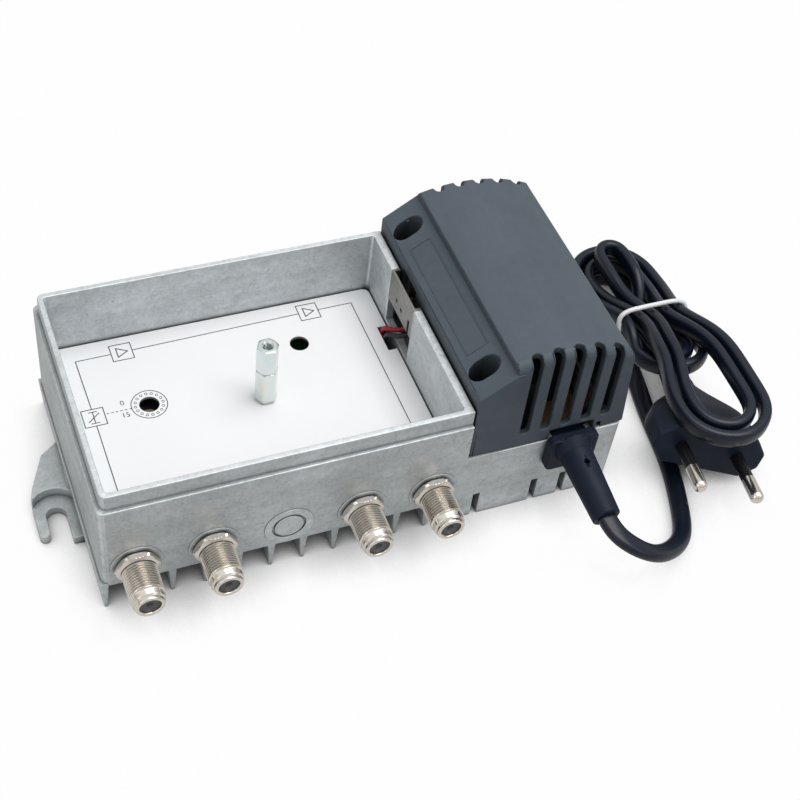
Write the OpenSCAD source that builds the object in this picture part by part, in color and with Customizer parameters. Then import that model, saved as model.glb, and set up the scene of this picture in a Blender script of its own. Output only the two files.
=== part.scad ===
// TV signal amplifier: finned die casting with an open amplifier bay, a plastic hood over the
// mains power supply, four threaded coaxial ports and a flat mains lead tied into a hank.
// X runs along the housing, Y from the ports to the back, Z up. The origin is the middle of the
// housing's footprint, ports and lugs included, on the surface that the fins stand on.

/* [Housing] */
// Length of the casting without its lugs
housing_l = 148; // [140:1:180]
// Depth of the casting, front wall to back wall
housing_w = 74.4; // [70:0.2:92]
// Length of the amplifier bay, to the far face of the partition
amp_l = 100.8; // [97:0.2:102]
// Thickness of the cast outer walls
wall_t = 2.8; // [2.2:0.1:3.4]
// Thickness of the partition between the bays
partition_t = 2.5; // [2:0.1:3]
// Height of the ledge that a lid would rest on
ledge_z = 40; // [38:0.5:48]
// Height of the lip above the ledge
lip_h = 5; // [3:0.5:6]
// How far the lip stands in from the outer wall
lip_inset = 1.2; // [0.8:0.1:1.5]
// Height of the power supply bay's walls, where the hood sits
seam_z = 26.5; // [25:0.5:29]
// Thickness of the floor of both bays
floor_t = 2.2; // [1.8:0.1:3]
// Rounding of the upright corners
corner_r = 2; // [1:0.5:2.5]

/* [Fins and lugs] */
// Height of the cooling fins under the floor
fin_h = 9.2; // [7:0.2:11.2]
// Distance from one fin to the next
fin_pitch = 9.05; // [7.5:0.05:11]
// Thickness of a fin at the floor
fin_root = 2.4; // [2:0.1:3]
// Thickness of a fin at its tip
fin_tip = 1; // [0.8:0.1:1.4]
// How far each fixing lug stands out of the end wall
lug_reach = 11.3; // [10:0.1:14]
// Width of the open screw slot in a lug
lug_slot_w = 5.5; // [4.5:0.1:6]
// Thickness of a lug under the screw head
lug_t = 3; // [2.5:0.5:4]
// Height of the raised back of a lug
lug_back_h = 6; // [5:0.5:8]

/* [Ports] */
// Distance between neighbouring port positions
port_pitch = 20.6; // [18:0.1:22]
// Height of the port axis above the underside of the floor
port_rise = 7.3; // [7:0.1:7.8]
// How far a port stands out of the front wall
port_reach = 14.2; // [13:0.1:16]
// Outside diameter of the port's thread
port_thread_d = 9.52; // [9.4:0.02:9.6]
// Width of the port's nut across its flats
port_nut_af = 11; // [10.8:0.1:12]
// Thickness of the port's nut
port_nut_t = 2.4; // [2.2:0.1:3.2]

/* [Deck] */
// Height of the deck plate's upper face above the port axis
deck_rise = 7.5; // [7.1:0.1:9.5]
// Thickness of the deck plate
deck_t = 1; // [0.8:0.1:1.5]
// Diameter of the holes over the step switch and the indicator
deck_hole_d = 5.5; // [5.4:0.1:6]
// Width of the hexagonal spacers across their flats
spacer_af = 5.5; // [5:0.1:6]
// Length of the lower spacer
spacer_low_l = 12; // [9:0.5:15]
// Length of the upper spacer
spacer_top_l = 9; // [7.5:0.5:12]
// Diameter of the rotor of the step switch
rotor_d = 4.8; // [4.2:0.1:5]

/* [Hood] */
// Height of the hood's crown
hood_z = 60; // [58:0.5:66]
// How much lower the far edge of the arch is than its crown
hood_drop = 4.84; // [3:0.01:6]
// Wall thickness of the hood
hood_t = 2; // [1.6:0.1:2.4]
// Distance from the partition to the ridge along the hood
hood_ridge = 10.4; // [9.8:0.1:11]
// Width of a vent slot
vent_w = 2.9; // [2:0.05:3.2]
// Distance from one vent slot to the next
vent_pitch = 6.15; // [5.6:0.05:6.3]
// Number of vent slots at each end
vent_count = 5; // [3:1:5]
// Height of the lower end of the vent slots
vent_z = 31.1; // [31:0.1:36]

/* [Cord and plug] */
// Width of the flat mains cord
cord_w = 5.4; // [5:0.1:5.5]
// Thickness of the flat mains cord
cord_t = 3.4; // [3:0.1:3.5]
// Diameter of the plug's pins
pin_d = 4; // [3.8:0.1:4]
// Length of the plug's pins
pin_l = 19; // [18:0.5:20]
// Distance between the plug's pins
pin_gap = 18.6; // [18:0.1:19.2]
// Width of the plug across its face
plug_w = 35.3; // [34:0.1:36]
// Thickness of the plug
plug_h = 13.7; // [13:0.1:14]

/* [Hidden] */
$fn = 48;

// Small overshoot of a cut, so that it passes clean through a face
cut = 1;
// Clearance between pieces that lie beside each other
gap = 0.3;
// Clearance round a screw, stud or shaft
fit = 0.08;
// Clearance of pieces that are pressed or moulded together
press = 0.02;

// The casting's own frame has its corner at the left end of the front wall
module place() translate([-housing_l / 2, -(housing_w - port_reach) / 2, 0]) children();

// The cord lies beside the right end wall and is measured from it
module beside() place() translate([housing_l, 0, 0]) children();

// Rectangle with round corners, from one corner to the other
module round_rect(low, high, r) {
    translate([low.x + r, low.y]) square([high.x - low.x - 2 * r, high.y - low.y]);
    translate([low.x, low.y + r]) square([high.x - low.x, high.y - low.y - 2 * r]);
    for (x = [low.x + r, high.x - r], y = [low.y + r, high.y - r]) translate([x, y]) circle(r);
}

// Box with round upright edges, from one corner to the other
module round_box(low, high, r) {
    translate([0, 0, low.z]) linear_extrude(high.z - low.z) round_rect(low, high, r);
}

module box(low, high) translate(low) cube(high - low);

// Upright cylinder at a place on the plan, between two heights
module post(at, r, z0, z1) translate([at.x, at.y, z0]) cylinder(r = r, h = z1 - z0);

// Long round-ended outline along X, between two centres
module obround(x0, x1, y, r) {
    translate([x0, y - r]) square([x1 - x0, 2 * r]);
    for (x = [x0, x1]) translate([x, y]) circle(r);
}

// Flat outline in X and Z, carried along Y from one depth to the other
module across(y0, y1) translate([0, y1, 0]) rotate([90, 0, 0]) linear_extrude(y1 - y0) children();

// Hexagonal bar with turned chamfers at both ends
module hex_bar(af, h, chamfer) {
    corner = af / 2 / cos(30);
    intersection() {
        cylinder(r = corner, h = h, $fn = 6);
        union() {
            cylinder(r1 = corner - chamfer, r2 = corner, h = chamfer);
            translate([0, 0, chamfer]) cylinder(r = corner, h = h - 2 * chamfer);
            translate([0, 0, h - chamfer]) cylinder(r1 = corner, r2 = corner - chamfer, h = chamfer);
        }
    }
}

// Heights that the pieces share
rim_z = ledge_z + lip_h;
floor_top = fin_h + floor_t;
floor_mid = fin_h + floor_t / 2;
port_z = fin_h + port_rise;
deck_z = port_z + deck_rise;
deck_low = deck_z - deck_t;

// Insides of the two bays
amp_x0 = wall_t;
amp_x1 = amp_l - partition_t;
psu_x0 = amp_l;
psu_x1 = housing_l - wall_t;
bay_y0 = wall_t;
bay_y1 = housing_w - wall_t;

// Ports: five places, of which the middle one keeps its knock-out
port_x0 = 9.1;
port_places = [0, 1, 3, 4];
knockout_place = 2;
knockout_r = 4.7;
knockout_groove = 0.6;
pad_r = 6.9;
pad_h = 0.3;
thread_r = port_thread_d / 2;
shank_r = thread_r - 0.46;
function port_x(place_no) = port_x0 + port_pitch * place_no;
module at_port(place_no) translate([port_x(place_no), -pad_h, port_z]) rotate([90, 0, 0]) children();

// Threaded holes and the studs and screws in them
m3_core_r = 1.25;
stud_r = m3_core_r - 0.05;
stud_l = 6;

// Amplifier board, with its upper face just under the port contacts
contact_r = 0.7;
board_t = 1.6;
board_top = port_z - contact_r;
board_low = board_top - board_t;
board_gap = 1;
board_y0 = 12;
board_post_r = 3;
board_post_inset = 12;
board_posts = [for (x = [amp_x0 + board_post_inset, amp_x1 - board_post_inset],
    y = [board_y0 + 6, bay_y1 - 6]) [x, y]];

// Posts that carry the deck plate: in the rear corners, and between the ports at the front
deck_post_r = 3;
deck_post_inset = 2.6;
deck_posts = concat(
    [for (x = [amp_x0 + deck_post_inset, amp_x1 - deck_post_inset]) [x, bay_y1 - deck_post_inset]],
    [for (i = [0.5, 3.5]) [port_x(i), bay_y0 + deck_post_inset]]);
board_corner_r = deck_post_r + 1.6 * deck_post_inset;

// Spacer stack over the middle boss
stack_at = [55.7, 38.5];
boss_r = 4.2;

// Step switch and indicator under the deck plate's holes
switch_at = [24.5, 44.8];
led_at = [71.3, 55.3];
switch_w = 9.6;
switch_h = 3;
switch_top = board_top + switch_h;
rotor_seat = 2.2;

// Gap in the partition, where the supply wires pass under the sheet bracket
gate_y0 = 40;
gate_y1 = 57;
gate_z = deck_z + 1;
bracket_t = 0.8;
bracket_z = 34;
notch_y0 = 45.8;
notch_y1 = 55.2;
notch_depth = 2.7;

// Screw wells of the hood and the posts under them
well_r = 3.1;
well_wall = 1.4;
well_x0 = amp_l + 3.9;
well_x1 = amp_l + 5.7;
well_screw_x = amp_l + 5.3;
well_floor = 38;
well_floor_t = 2;
well_inset = 9.4;
wells_y = [well_inset, housing_w - well_inset];
post_r = 2.6;
post_top = well_floor - well_floor_t;
screw_r = 1.4;
screw_l = 10;
screw_head_r = 2.7;
screw_head_h = 2.1;

// Supply board and its posts
psu_board_x0 = amp_l + 10;
psu_board_low = floor_top + 3.6;
psu_board_top = psu_board_low + board_t;
psu_posts = [for (x = [psu_board_x0 + 3.2, psu_x1 - 3.6], y = [bay_y0 + 5, bay_y1 - 5]) [x, y]];

// Bushing of the mains cord in the front wall
bush_x = housing_l - 16.2;
bush_z = 22.4;
bush_w = 15;
bush_h = 12.2;
bush_t = 3;
neck_w = 10.4;
neck_low = bush_z - 4;
boot_l = 23.8;
boot_r = 4.8;
boot_tip_r = 4;
boot_droop = 9.5;
boot_swing = 1.2;
boot_root = [bush_x, -bush_t / 2, bush_z + 1.6];

// Fixing lug at the left end: a sloping back, a screw seat and an open slot beside a round-ended prong
lug_y0 = 22;
lug_y1 = 54;
lug_slot_x = -5.6;
lug_slot_y = 30.7;
lug_seat_r = 7;
prong_y = lug_slot_y - 5;
prong_r = (lug_reach + lug_slot_x - lug_slot_w / 2) / 2;
prong_x = -lug_reach + 2 * prong_r;
lug_root_x = lug_slot_x + lug_slot_w / 2;

module lug_outline() {
    polygon([[cut, lug_y0], [cut, lug_y1], [0, lug_y1], [-lug_reach + 5.8, lug_y1 - 4],
        [-lug_reach + 1, lug_y1 - 15], [-lug_reach, lug_y1 - 18.5], [-lug_reach, prong_y],
        [prong_x, prong_y], [prong_x, lug_slot_y], [lug_root_x, lug_slot_y], [lug_root_x, lug_y0]]);
    translate([-lug_reach + prong_r, prong_y]) circle(prong_r);
}

module lug() {
    linear_extrude(lug_t) difference() {
        lug_outline();
        translate([lug_slot_x, lug_slot_y]) circle(lug_slot_w / 2);
    }
    linear_extrude(lug_back_h) difference() {
        lug_outline();
        translate([lug_slot_x, lug_slot_y]) circle(lug_seat_r);
        translate([-lug_reach - cut, lug_y0 - cut])
            square([lug_reach + 3 * cut, lug_slot_y - lug_y0 + cut]);
    }
}

// One cooling fin: a tapered blade with a round tip, running from front to back
module fin(x) {
    tip_r = fin_tip / 2;
    translate([x, 0, 0]) across(0, housing_w) {
        polygon([[-fin_root / 2, floor_mid], [fin_root / 2, floor_mid], [tip_r, tip_r], [-tip_r, tip_r]]);
        translate([0, tip_r]) circle(tip_r, $fn = 24);
    }
}

// Skirt under the power supply bay: drain slots in its walls open the gaps between the fins there
skirt_x0 = amp_l - 3;
skirt_slot_w = 2;
skirt_slot_x0 = amp_l + 5.2;
skirt_slots = [0, 2, 3, 4];
psu_fins = [0 : 3];

module skirt() {
    difference() {
        round_box([skirt_x0, 0, 0], [housing_l, housing_w, floor_mid], corner_r);
        box([skirt_x0 - cut, wall_t, -cut], [psu_x1, bay_y1, floor_mid + cut]);
        for (i = skirt_slots) translate([skirt_slot_x0 + fin_pitch * i - skirt_slot_w / 2, -cut, -cut])
            cube([skirt_slot_w, housing_w + 2 * cut, fin_h + cut]);
    }
}

module bay_walls() {
    difference() {
        union() {
            round_box([0, 0, fin_h], [amp_l, housing_w, ledge_z], corner_r);
            round_box([lip_inset, lip_inset, fin_h], [amp_l, housing_w - lip_inset, rim_z], corner_r);
            box([amp_l - 2 * corner_r, 0, fin_h], [amp_l, housing_w, ledge_z]);
            box([amp_l - 2 * corner_r, lip_inset, fin_h], [amp_l, housing_w - lip_inset, rim_z]);
            round_box([amp_l - 3 * corner_r, 0, fin_h], [housing_l, housing_w, seam_z], corner_r);
        }
        round_box([amp_x0, bay_y0, floor_top], [amp_x1, bay_y1, rim_z + cut], corner_r / 2);
        round_box([psu_x0, bay_y0, floor_top], [psu_x1, bay_y1, rim_z + cut], corner_r / 2);
    }
}

module housing() color([0.66, 0.68, 0.69]) place() difference() {
    union() {
        bay_walls();
        skirt();
        for (x = [fin_tip / 2 : fin_pitch : amp_l]) fin(x);
        for (i = psu_fins) fin(skirt_slot_x0 + fin_pitch * (i + 0.5));
        lug();
        translate([housing_l, 0, 0]) mirror([1, 0, 0]) lug();
        for (i = [0 : 4]) at_port(i) translate([0, 0, -pad_h - cut]) cylinder(r = pad_r, h = pad_h + cut);
        for (p = deck_posts) post(p, deck_post_r, floor_mid, deck_low);
        for (p = board_posts) post(p, board_post_r, floor_mid, board_low);
        post(stack_at, boss_r, floor_mid, deck_low);
        for (y = wells_y) post([well_screw_x, y], post_r, floor_mid, post_top);
        for (p = psu_posts) post(p, board_post_r, floor_mid, psu_board_low);
    }
    for (i = port_places) at_port(i)
        translate([0, 0, -wall_t - cut]) cylinder(r = thread_r + fit, h = wall_t + 2 * cut);
    at_port(knockout_place) translate([0, 0, -knockout_groove]) difference() {
        cylinder(r = knockout_r, h = knockout_groove + cut);
        cylinder(r = knockout_r - knockout_groove, h = knockout_groove + cut);
    }
    for (p = board_posts) post(p, m3_core_r, floor_top, board_top);
    for (p = psu_posts) post(p, m3_core_r, floor_top, psu_board_top);
    post(stack_at, m3_core_r, deck_low - stud_l - cut, deck_z);
    for (y = wells_y) post([well_screw_x, y], screw_r + fit, post_top - screw_l, post_top + cut);
    box([amp_x1 - cut, gate_y0, gate_z], [amp_l + cut, gate_y1, rim_z + cut]);
    box([bush_x - neck_w / 2, -cut, neck_low], [bush_x + neck_w / 2, wall_t + cut, seam_z + cut]);
}

// Hood over the power supply, with its walls set in by a given amount
hood_x0 = amp_l + 0.4;
hood_x1 = housing_l + 0.4;
ridge_x = amp_l + hood_ridge;
arch_x = ridge_x + 12.8;
far_edge_x = hood_x1 - 3.4;
arch_half = far_edge_x - arch_x;
hood_arch_r = (arch_half * arch_half + hood_drop * hood_drop) / (2 * hood_drop);
arch_z = hood_z - hood_arch_r;
far_z = hood_z - hood_drop;
hood_edge_r = 2.6;
hood_lean = 1.2;
band_inset = 0.9;
band_low = 49.4;
band_high = 56;
panel_step = 1.1;

// Limits of the tall part: upright ridge, bevelled far edge, leaning right wall, slanted panel corner
module hood_sides(inset) {
    left = hood_x0 + panel_step + inset;
    right = hood_x1 - inset;
    polygon([[left, seam_z], [right, seam_z], [right - 2, far_z - 2.5], [right - 2.6, far_z - 1.1],
        [right - 3.4, far_z], [right - 3.4, hood_z + cut], [ridge_x + inset, hood_z + cut],
        [ridge_x + inset, band_high - 2 * panel_step - inset],
        [left, band_low - 1.5 * panel_step - inset]]);
}

// Half section of a drum from its middle, with leaning ends and rounded rims
module drum_half(r, y0, y1, edge) {
    shoulder = hood_lean + edge;
    polygon([[0, y0], [r - edge, y0 + hood_lean], [r - edge, y1 - hood_lean], [0, y1]]);
    translate([0, y0 + shoulder]) square([r, y1 - y0 - 2 * shoulder]);
    for (y = [y0 + shoulder, y1 - shoulder]) translate([r - edge, y]) circle(edge);
}

// The tall part: an arch turned about an axis along Y, so that its end edges are evenly rounded
module hood_arch(inset) {
    intersection() {
        translate([arch_x, 0, arch_z]) rotate([-90, 0, 0]) rotate_extrude($fn = 180)
            drum_half(hood_arch_r - inset, inset, housing_w - inset, hood_edge_r - inset / 2);
        across(0, housing_w) hood_sides(inset);
        translate([amp_l, 0, 0]) rotate([90, 0, 90]) linear_extrude(housing_l)
            polygon([[inset, seam_z], [housing_w - inset, seam_z],
                [housing_w - hood_lean - inset, hood_z + cut], [hood_lean + inset, hood_z + cut]]);
    }
}

// The low sloping band beside the ridge
module hood_band(inset) {
    tuck = 2;
    across(band_inset + inset, housing_w - band_inset - inset)
        polygon([[hood_x0 + inset, seam_z], [ridge_x + tuck, seam_z], [ridge_x + tuck, band_high - inset],
            [ridge_x, band_high - inset], [hood_x0 + inset, band_low - inset]]);
}

module hood_form(inset) {
    hood_arch(inset);
    hood_band(inset);
}

vent_x0 = ridge_x + 5.7;
// The slots stop just short of where the hood's inner edge turns into its crown
vent_depth = hood_lean + hood_t / 2 + hood_edge_r - 0.25;
wall_depth = hood_t + hood_lean + cut;

// A pair of vent slots, one in each end of the hood: round below, through the end wall and into the crown
module vent(x) {
    r = vent_w / 2;
    for (flip = [0, 1]) translate([0, flip * housing_w, 0]) mirror([0, flip, 0]) translate([x, 0, 0]) {
        translate([0, 0, vent_z + r]) linear_extrude(hood_z) {
            translate([-r, -cut]) square([vent_w, vent_depth + cut - r]);
            translate([0, vent_depth - r]) circle(r);
        }
        box([-r, -cut, vent_z + r], [r, wall_depth, far_z - hood_t]);
        translate([0, wall_depth, vent_z + r]) rotate([90, 0, 0]) cylinder(r = r, h = wall_depth + cut);
    }
}

// Openings of the hood for the wires and over the bushing's flange, and the small notch beside it
hood_gate_margin = 2;
hood_gate_top = bracket_z + 2;
finger_y0 = gate_y0 + 6;
finger_y1 = gate_y1 - 1.5;
finger_top = rim_z + 1;
brow_side = 0.8;
brow_top = bush_z + bush_h / 2 + 1.5;
nick_w = 1.2;
nick_h = 2;

module psu_cover() color([0.17, 0.2, 0.23]) place() difference() {
    union() {
        difference() {
            hood_form(0);
            translate([0, 0, -fit]) hood_form(hood_t);
        }
        intersection() {
            hood_form(0);
            for (y = wells_y) translate([0, 0, post_top]) linear_extrude(hood_z)
                obround(well_x0, well_x1, y, well_r + well_wall);
        }
    }
    for (y = wells_y) {
        translate([0, 0, well_floor]) linear_extrude(hood_z) obround(well_x0, well_x1, y, well_r);
        post([well_screw_x, y], screw_r + 3 * fit, post_top - cut, hood_z);
    }
    for (i = [0 : vent_count - 1]) vent(vent_x0 + vent_pitch * i);
    box([hood_x0 - cut, gate_y0 - hood_gate_margin, seam_z - cut],
        [hood_x0 + hood_t + cut, gate_y1 + hood_gate_margin, hood_gate_top]);
    box([hood_x0 - cut, finger_y0, seam_z - cut], [hood_x0 + hood_t + cut, finger_y1, finger_top]);
    box([bush_x - bush_w / 2 + brow_side, -cut, seam_z - cut],
        [bush_x + bush_w / 2 - brow_side, wall_depth, brow_top]);
    translate([bush_x + bush_w / 2 + nick_w / 2, -cut, seam_z - cut])
        cube([nick_w, hood_t + 2 * cut, nick_h + cut]);
}

// Pan-head screw, head up, with its seat at zero
module pan_screw(head_r, head_h, shank, length) {
    rim = head_h * 0.6;
    slot = 0.7;
    arm = head_r * 1.2;
    difference() {
        union() {
            cylinder(r = head_r, h = rim);
            translate([0, 0, rim]) cylinder(r1 = head_r, r2 = head_r * 0.7, h = head_h - rim);
        }
        for (turn = [0, 90]) rotate(turn)
            translate([-arm / 2, -slot / 2, head_h * 0.4]) cube([arm, slot, head_h]);
    }
    translate([0, 0, -length]) cylinder(r = shank, h = length);
}

module cover_screws() color([0.7, 0.71, 0.72]) place()
    for (y = wells_y) translate([well_screw_x, y, well_floor])
        pan_screw(screw_head_r, screw_head_h, screw_r, screw_l);

board_head_r = 2.5;
board_head_h = 1.8;
board_grip = 2;

module board_screws() color([0.72, 0.73, 0.74]) place()
    for (p = board_posts) translate([p.x, p.y, board_top])
        pan_screw(board_head_r, board_head_h, stud_r, board_t + board_grip);

module psu_screws() color([0.72, 0.73, 0.74]) place()
    for (p = psu_posts) translate([p.x, p.y, psu_board_top])
        pan_screw(board_head_r, board_head_h, stud_r, board_t + board_grip);

// White plate over the amplifier board
module deck_plate() color([0.94, 0.94, 0.95]) place() difference() {
    round_box([amp_x0 + gap, bay_y0 + gap, deck_low], [amp_x1 - gap, bay_y1 - gap, deck_z], corner_r);
    for (p = [switch_at, led_at]) post(p, deck_hole_d / 2, deck_low - cut, deck_z + cut);
    post(stack_at, stud_r + gap, deck_low - cut, deck_z + cut);
    box([amp_x1 - gap - notch_depth, notch_y0, deck_low - cut], [amp_x1 + cut, notch_y1, deck_z + cut]);
}

// Hexagonal spacer with a stud below and a threaded hole above
spacer_hole = stud_l + 1;
spacer_chamfer = 0.45;
mouth_h = 0.4;
module spacer(length) {
    difference() {
        hex_bar(spacer_af, length, spacer_chamfer);
        translate([0, 0, length - spacer_hole]) cylinder(r = m3_core_r, h = spacer_hole + cut);
        translate([0, 0, length - mouth_h]) cylinder(r1 = m3_core_r, r2 = m3_core_r + mouth_h, h = mouth_h);
    }
    translate([0, 0, -stud_l]) cylinder(r = stud_r, h = stud_l + mouth_h);
}

module standoff_lower() color([0.75, 0.78, 0.77]) place()
    translate([stack_at.x, stack_at.y, deck_z]) spacer(spacer_low_l);

module standoff_upper() color([0.75, 0.78, 0.77]) place()
    translate([stack_at.x, stack_at.y, deck_z + spacer_low_l]) spacer(spacer_top_l);

module amplifier_board() color([0.1, 0.3, 0.16]) place() difference() {
    box([amp_x0 + board_gap, board_y0, board_low], [amp_x1 - board_gap, bay_y1 - board_gap, board_top]);
    for (x = [amp_x0, amp_x1]) post([x, bay_y1], board_corner_r, board_low - cut, board_top + cut);
    post(stack_at, boss_r + gap, board_low - cut, board_top + cut);
    for (p = board_posts) post(p, stud_r + gap, board_low - cut, board_top + cut);
}

// Flat gain stage on the board, with a raised lid
module_at = [63, 22];
module_size = [26, 13, 4.6];
module_lid = [22, 10, 0.8];
module amplifier_module() color([0.2, 0.2, 0.21]) place() translate([module_at.x, module_at.y, board_top]) {
    cube(module_size);
    translate([(module_size.x - module_lid.x) / 2, (module_size.y - module_lid.y) / 2, module_size.z])
        cube(module_lid);
}

// Screwdriver-set step switch
switch_corner_r = 0.8;
module attenuator_body() color([0.12, 0.12, 0.13]) place() difference() {
    round_box([switch_at.x - switch_w / 2, switch_at.y - switch_w / 2, board_top],
        [switch_at.x + switch_w / 2, switch_at.y + switch_w / 2, switch_top], switch_corner_r);
    post(switch_at, rotor_d / 2, switch_top - rotor_seat, switch_top + cut);
}

// Its rotor, with a screwdriver slot and a three-sided pointer
rotor_proud = 0.4;
rotor_lift = 0.05;
rotor_slot = [3.4, 0.8, 1];
pointer_r = 0.55;
pointer_at = 1.5;
module attenuator_rotor() color([0.5, 0.42, 0.33]) place()
    translate([switch_at.x, switch_at.y, switch_top]) difference() {
        translate([0, 0, rotor_lift - rotor_seat])
            cylinder(r = rotor_d / 2 - fit, h = rotor_seat - rotor_lift + rotor_proud);
        translate([-rotor_slot.x / 2, -rotor_slot.y / 2, rotor_proud - rotor_slot.z])
            cube([rotor_slot.x, rotor_slot.y, rotor_slot.z + cut]);
        translate([pointer_at, 0, rotor_proud - rotor_slot.z / 2])
            cylinder(r = pointer_r, h = cut, $fn = 3);
    }

led_r = 1.5;
led_h = 2;
led_rim = 0.4;
module power_led() color([0.4, 0.12, 0.1]) place() translate([led_at.x, led_at.y, board_top]) {
    cylinder(r = led_r + led_rim, h = 1);
    cylinder(r = led_r, h = led_h);
    translate([0, 0, led_h]) sphere(r = led_r);
}

// Folded sheet that closes the gap in the partition above the wires, with a flange along each side
bracket_hole_r = 0.7;
bracket_holes = [[47.9, 37.4], [51.4, 38]];
bracket_slit = [1.2, 5];
module shield_bracket() color([0.72, 0.7, 0.66]) place() {
    side = gap / 6;
    x0 = amp_x1 + side;
    y0 = gate_y0 + side;
    y1 = gate_y1 - side;
    difference() {
        box([x0, y0, bracket_z], [amp_l, y1, rim_z]);
        box([x0 + bracket_t, y0 + bracket_t, bracket_z - cut],
            [amp_l + cut, y1 - bracket_t, rim_z + cut]);
        for (p = bracket_holes) translate([x0 - cut, p.x, p.y])
            rotate([0, 90, 0]) cylinder(r = bracket_hole_r, h = bracket_t + 2 * cut);
        translate([x0 - cut, y0 + 2 * bracket_t, bracket_z - cut])
            cube([bracket_t + cut + press, bracket_slit.x, bracket_slit.y + cut]);
    }
}

// Coaxial port: turned body with an inner flange, a shank at the thread's root under the nut, the
// threaded stretch just beyond the nut and a round nose
port_tip = port_reach - pad_h;
thread_start = port_nut_t + 0.3;
thread_end = port_tip - 3.3;
neck_end = port_tip - 1.7;
wall_back = -pad_h - wall_t;
flange_back = wall_back - 1.6;
flange_r = 4.95;
barrel_r = 4.2;
body_back = wall_back - 6.5;
bore_r = 2.9;
nose_r = 3.9;
nose_edge = 0.5;
neck_r = thread_r - 0.4;
module port_body(place_no) color([0.68, 0.65, 0.6]) place() at_port(place_no)
rotate_extrude() difference() {
    union() {
        polygon([[bore_r, body_back], [barrel_r, body_back], [barrel_r, flange_back],
            [flange_r, flange_back], [flange_r, wall_back], [shank_r, wall_back],
            [shank_r, thread_start], [thread_r, thread_start],
            [thread_r, thread_end], [neck_r, thread_end + 0.3], [neck_r, neck_end],
            [nose_r, neck_end + nose_edge], [nose_r, port_tip - nose_edge], [nose_r - nose_edge, port_tip],
            [bore_r, port_tip]]);
        translate([nose_r - nose_edge, port_tip - nose_edge]) circle(nose_edge, $fn = 24);
    }
    translate([0, body_back - cut]) square([bore_r, port_tip - body_back + 2 * cut]);
}

nut_chamfer = 0.55;
module port_nut(place_no) color([0.7, 0.68, 0.64]) place() at_port(place_no) difference() {
    hex_bar(port_nut_af, port_nut_t, nut_chamfer);
    translate([0, 0, -cut]) cylinder(r = shank_r + fit, h = port_nut_t + 2 * cut);
}

// Insulator with a funnel mouth, and the spring contact behind it
insulator_face = port_tip - 0.9;
funnel_h = 0.8;
funnel_r = 1;
socket_r = 0.45;
socket_depth = 8;
contact_back = wall_back - 12;
module port_insulator(place_no) color([0.35, 0.35, 0.36]) place() at_port(place_no) difference() {
    translate([0, 0, body_back]) cylinder(r = bore_r, h = insulator_face - body_back);
    translate([0, 0, body_back - cut])
        cylinder(r = contact_r, h = insulator_face - body_back + cut - funnel_h);
    translate([0, 0, insulator_face - funnel_h - press])
        cylinder(r1 = socket_r, r2 = funnel_r, h = funnel_h + 2 * press);
}

module port_contact(place_no) color([0.75, 0.66, 0.42]) place() at_port(place_no) difference() {
    translate([0, 0, contact_back]) cylinder(r = contact_r, h = insulator_face - contact_back - funnel_h);
    translate([0, 0, insulator_face - socket_depth]) cylinder(r = socket_r, h = socket_depth + cut);
}

// Supply board, cut away behind the bushing
bush_room = 6;
module psu_board() color([0.55, 0.42, 0.2]) place() difference() {
    box([psu_board_x0, bay_y0 + board_gap, psu_board_low],
        [psu_x1 - board_gap, bay_y1 - board_gap, psu_board_top]);
    for (p = psu_posts) post(p, stud_r + gap, psu_board_low - cut, psu_board_top + cut);
    box([bush_x - bush_w / 2, bay_y0, psu_board_low - cut],
        [bush_x + bush_w / 2, bay_y0 + bush_room, psu_board_top + cut]);
}

// Places of the pieces on the supply board, measured from its corner
module on_psu_board(x, y) place() translate([psu_board_x0 + x, y, psu_board_top]) children();

// Transformer: ferrite frame on edge round a taped coil on four legs
core_at = [3.9, 11];
core = [14, 22, 22];
core_leg = 4.5;
core_lift = 1;
coil_out = 2.5;
coil_r = 1.5;
coil_leg = [1.2, 1.4, 8];
module transformer_core() color([0.16, 0.16, 0.17]) on_psu_board(core_at.x, core_at.y) difference() {
    box([0, 0, core_lift], core);
    box([-cut, core_leg, core_lift + core_leg], [core.x + cut, core.y - core_leg, core.z - core_leg]);
}

module transformer_coil() color([0.75, 0.42, 0.12]) on_psu_board(core_at.x, core_at.y) {
    low = core_leg + gap;
    round_box([-coil_out, low, core_lift + low], [core.x + coil_out, core.y - low, core.z - low], coil_r);
    for (y = [low + coil_r, core.y - low - coil_r - coil_leg.y], x = [-coil_r - gap, core.x + gap])
        translate([x, y, 0]) cube(coil_leg);
}

// Electrolytic can with chamfered rims
module capacitor(r, h) {
    rim = 0.5;
    cylinder(r1 = r - rim, r2 = r, h = rim);
    translate([0, 0, rim]) cylinder(r = r, h = h - 2 * rim);
    translate([0, 0, h - rim]) cylinder(r1 = r, r2 = r - rim, h = rim);
}

module input_capacitor() color([0.1, 0.11, 0.14]) on_psu_board(26.9, 26) capacitor(6.2, 22);

module output_capacitor() color([0.1, 0.11, 0.14]) on_psu_board(7.2, 46) capacitor(5, 18);

module suppression_capacitor() color([0.6, 0.5, 0.2]) on_psu_board(16.2, 52)
    round_box([0, 0, 0], [16, 7.5, 13], 0.6);

// Wire-ended fuse: glass barrel with two caps, lying on the board
fuse_l = 12;
fuse_cap_l = 2.6;
fuse_cap_r = 2.6;
fuse_glass_r = 2.3;
module fuse() color([0.75, 0.75, 0.74]) on_psu_board(27.2, 36)
    translate([0, 0, fuse_cap_r]) rotate([-90, 0, 0]) {
        cylinder(r = fuse_glass_r, h = fuse_l);
        for (y = [0, fuse_l - fuse_cap_l]) translate([0, 0, y]) cylinder(r = fuse_cap_r, h = fuse_cap_l);
    }

module rectifier() color([0.13, 0.13, 0.14]) on_psu_board(13.2, 40)
    round_box([0, 0, 0], [8, 6.4, 3.4], 0.4);

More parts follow.
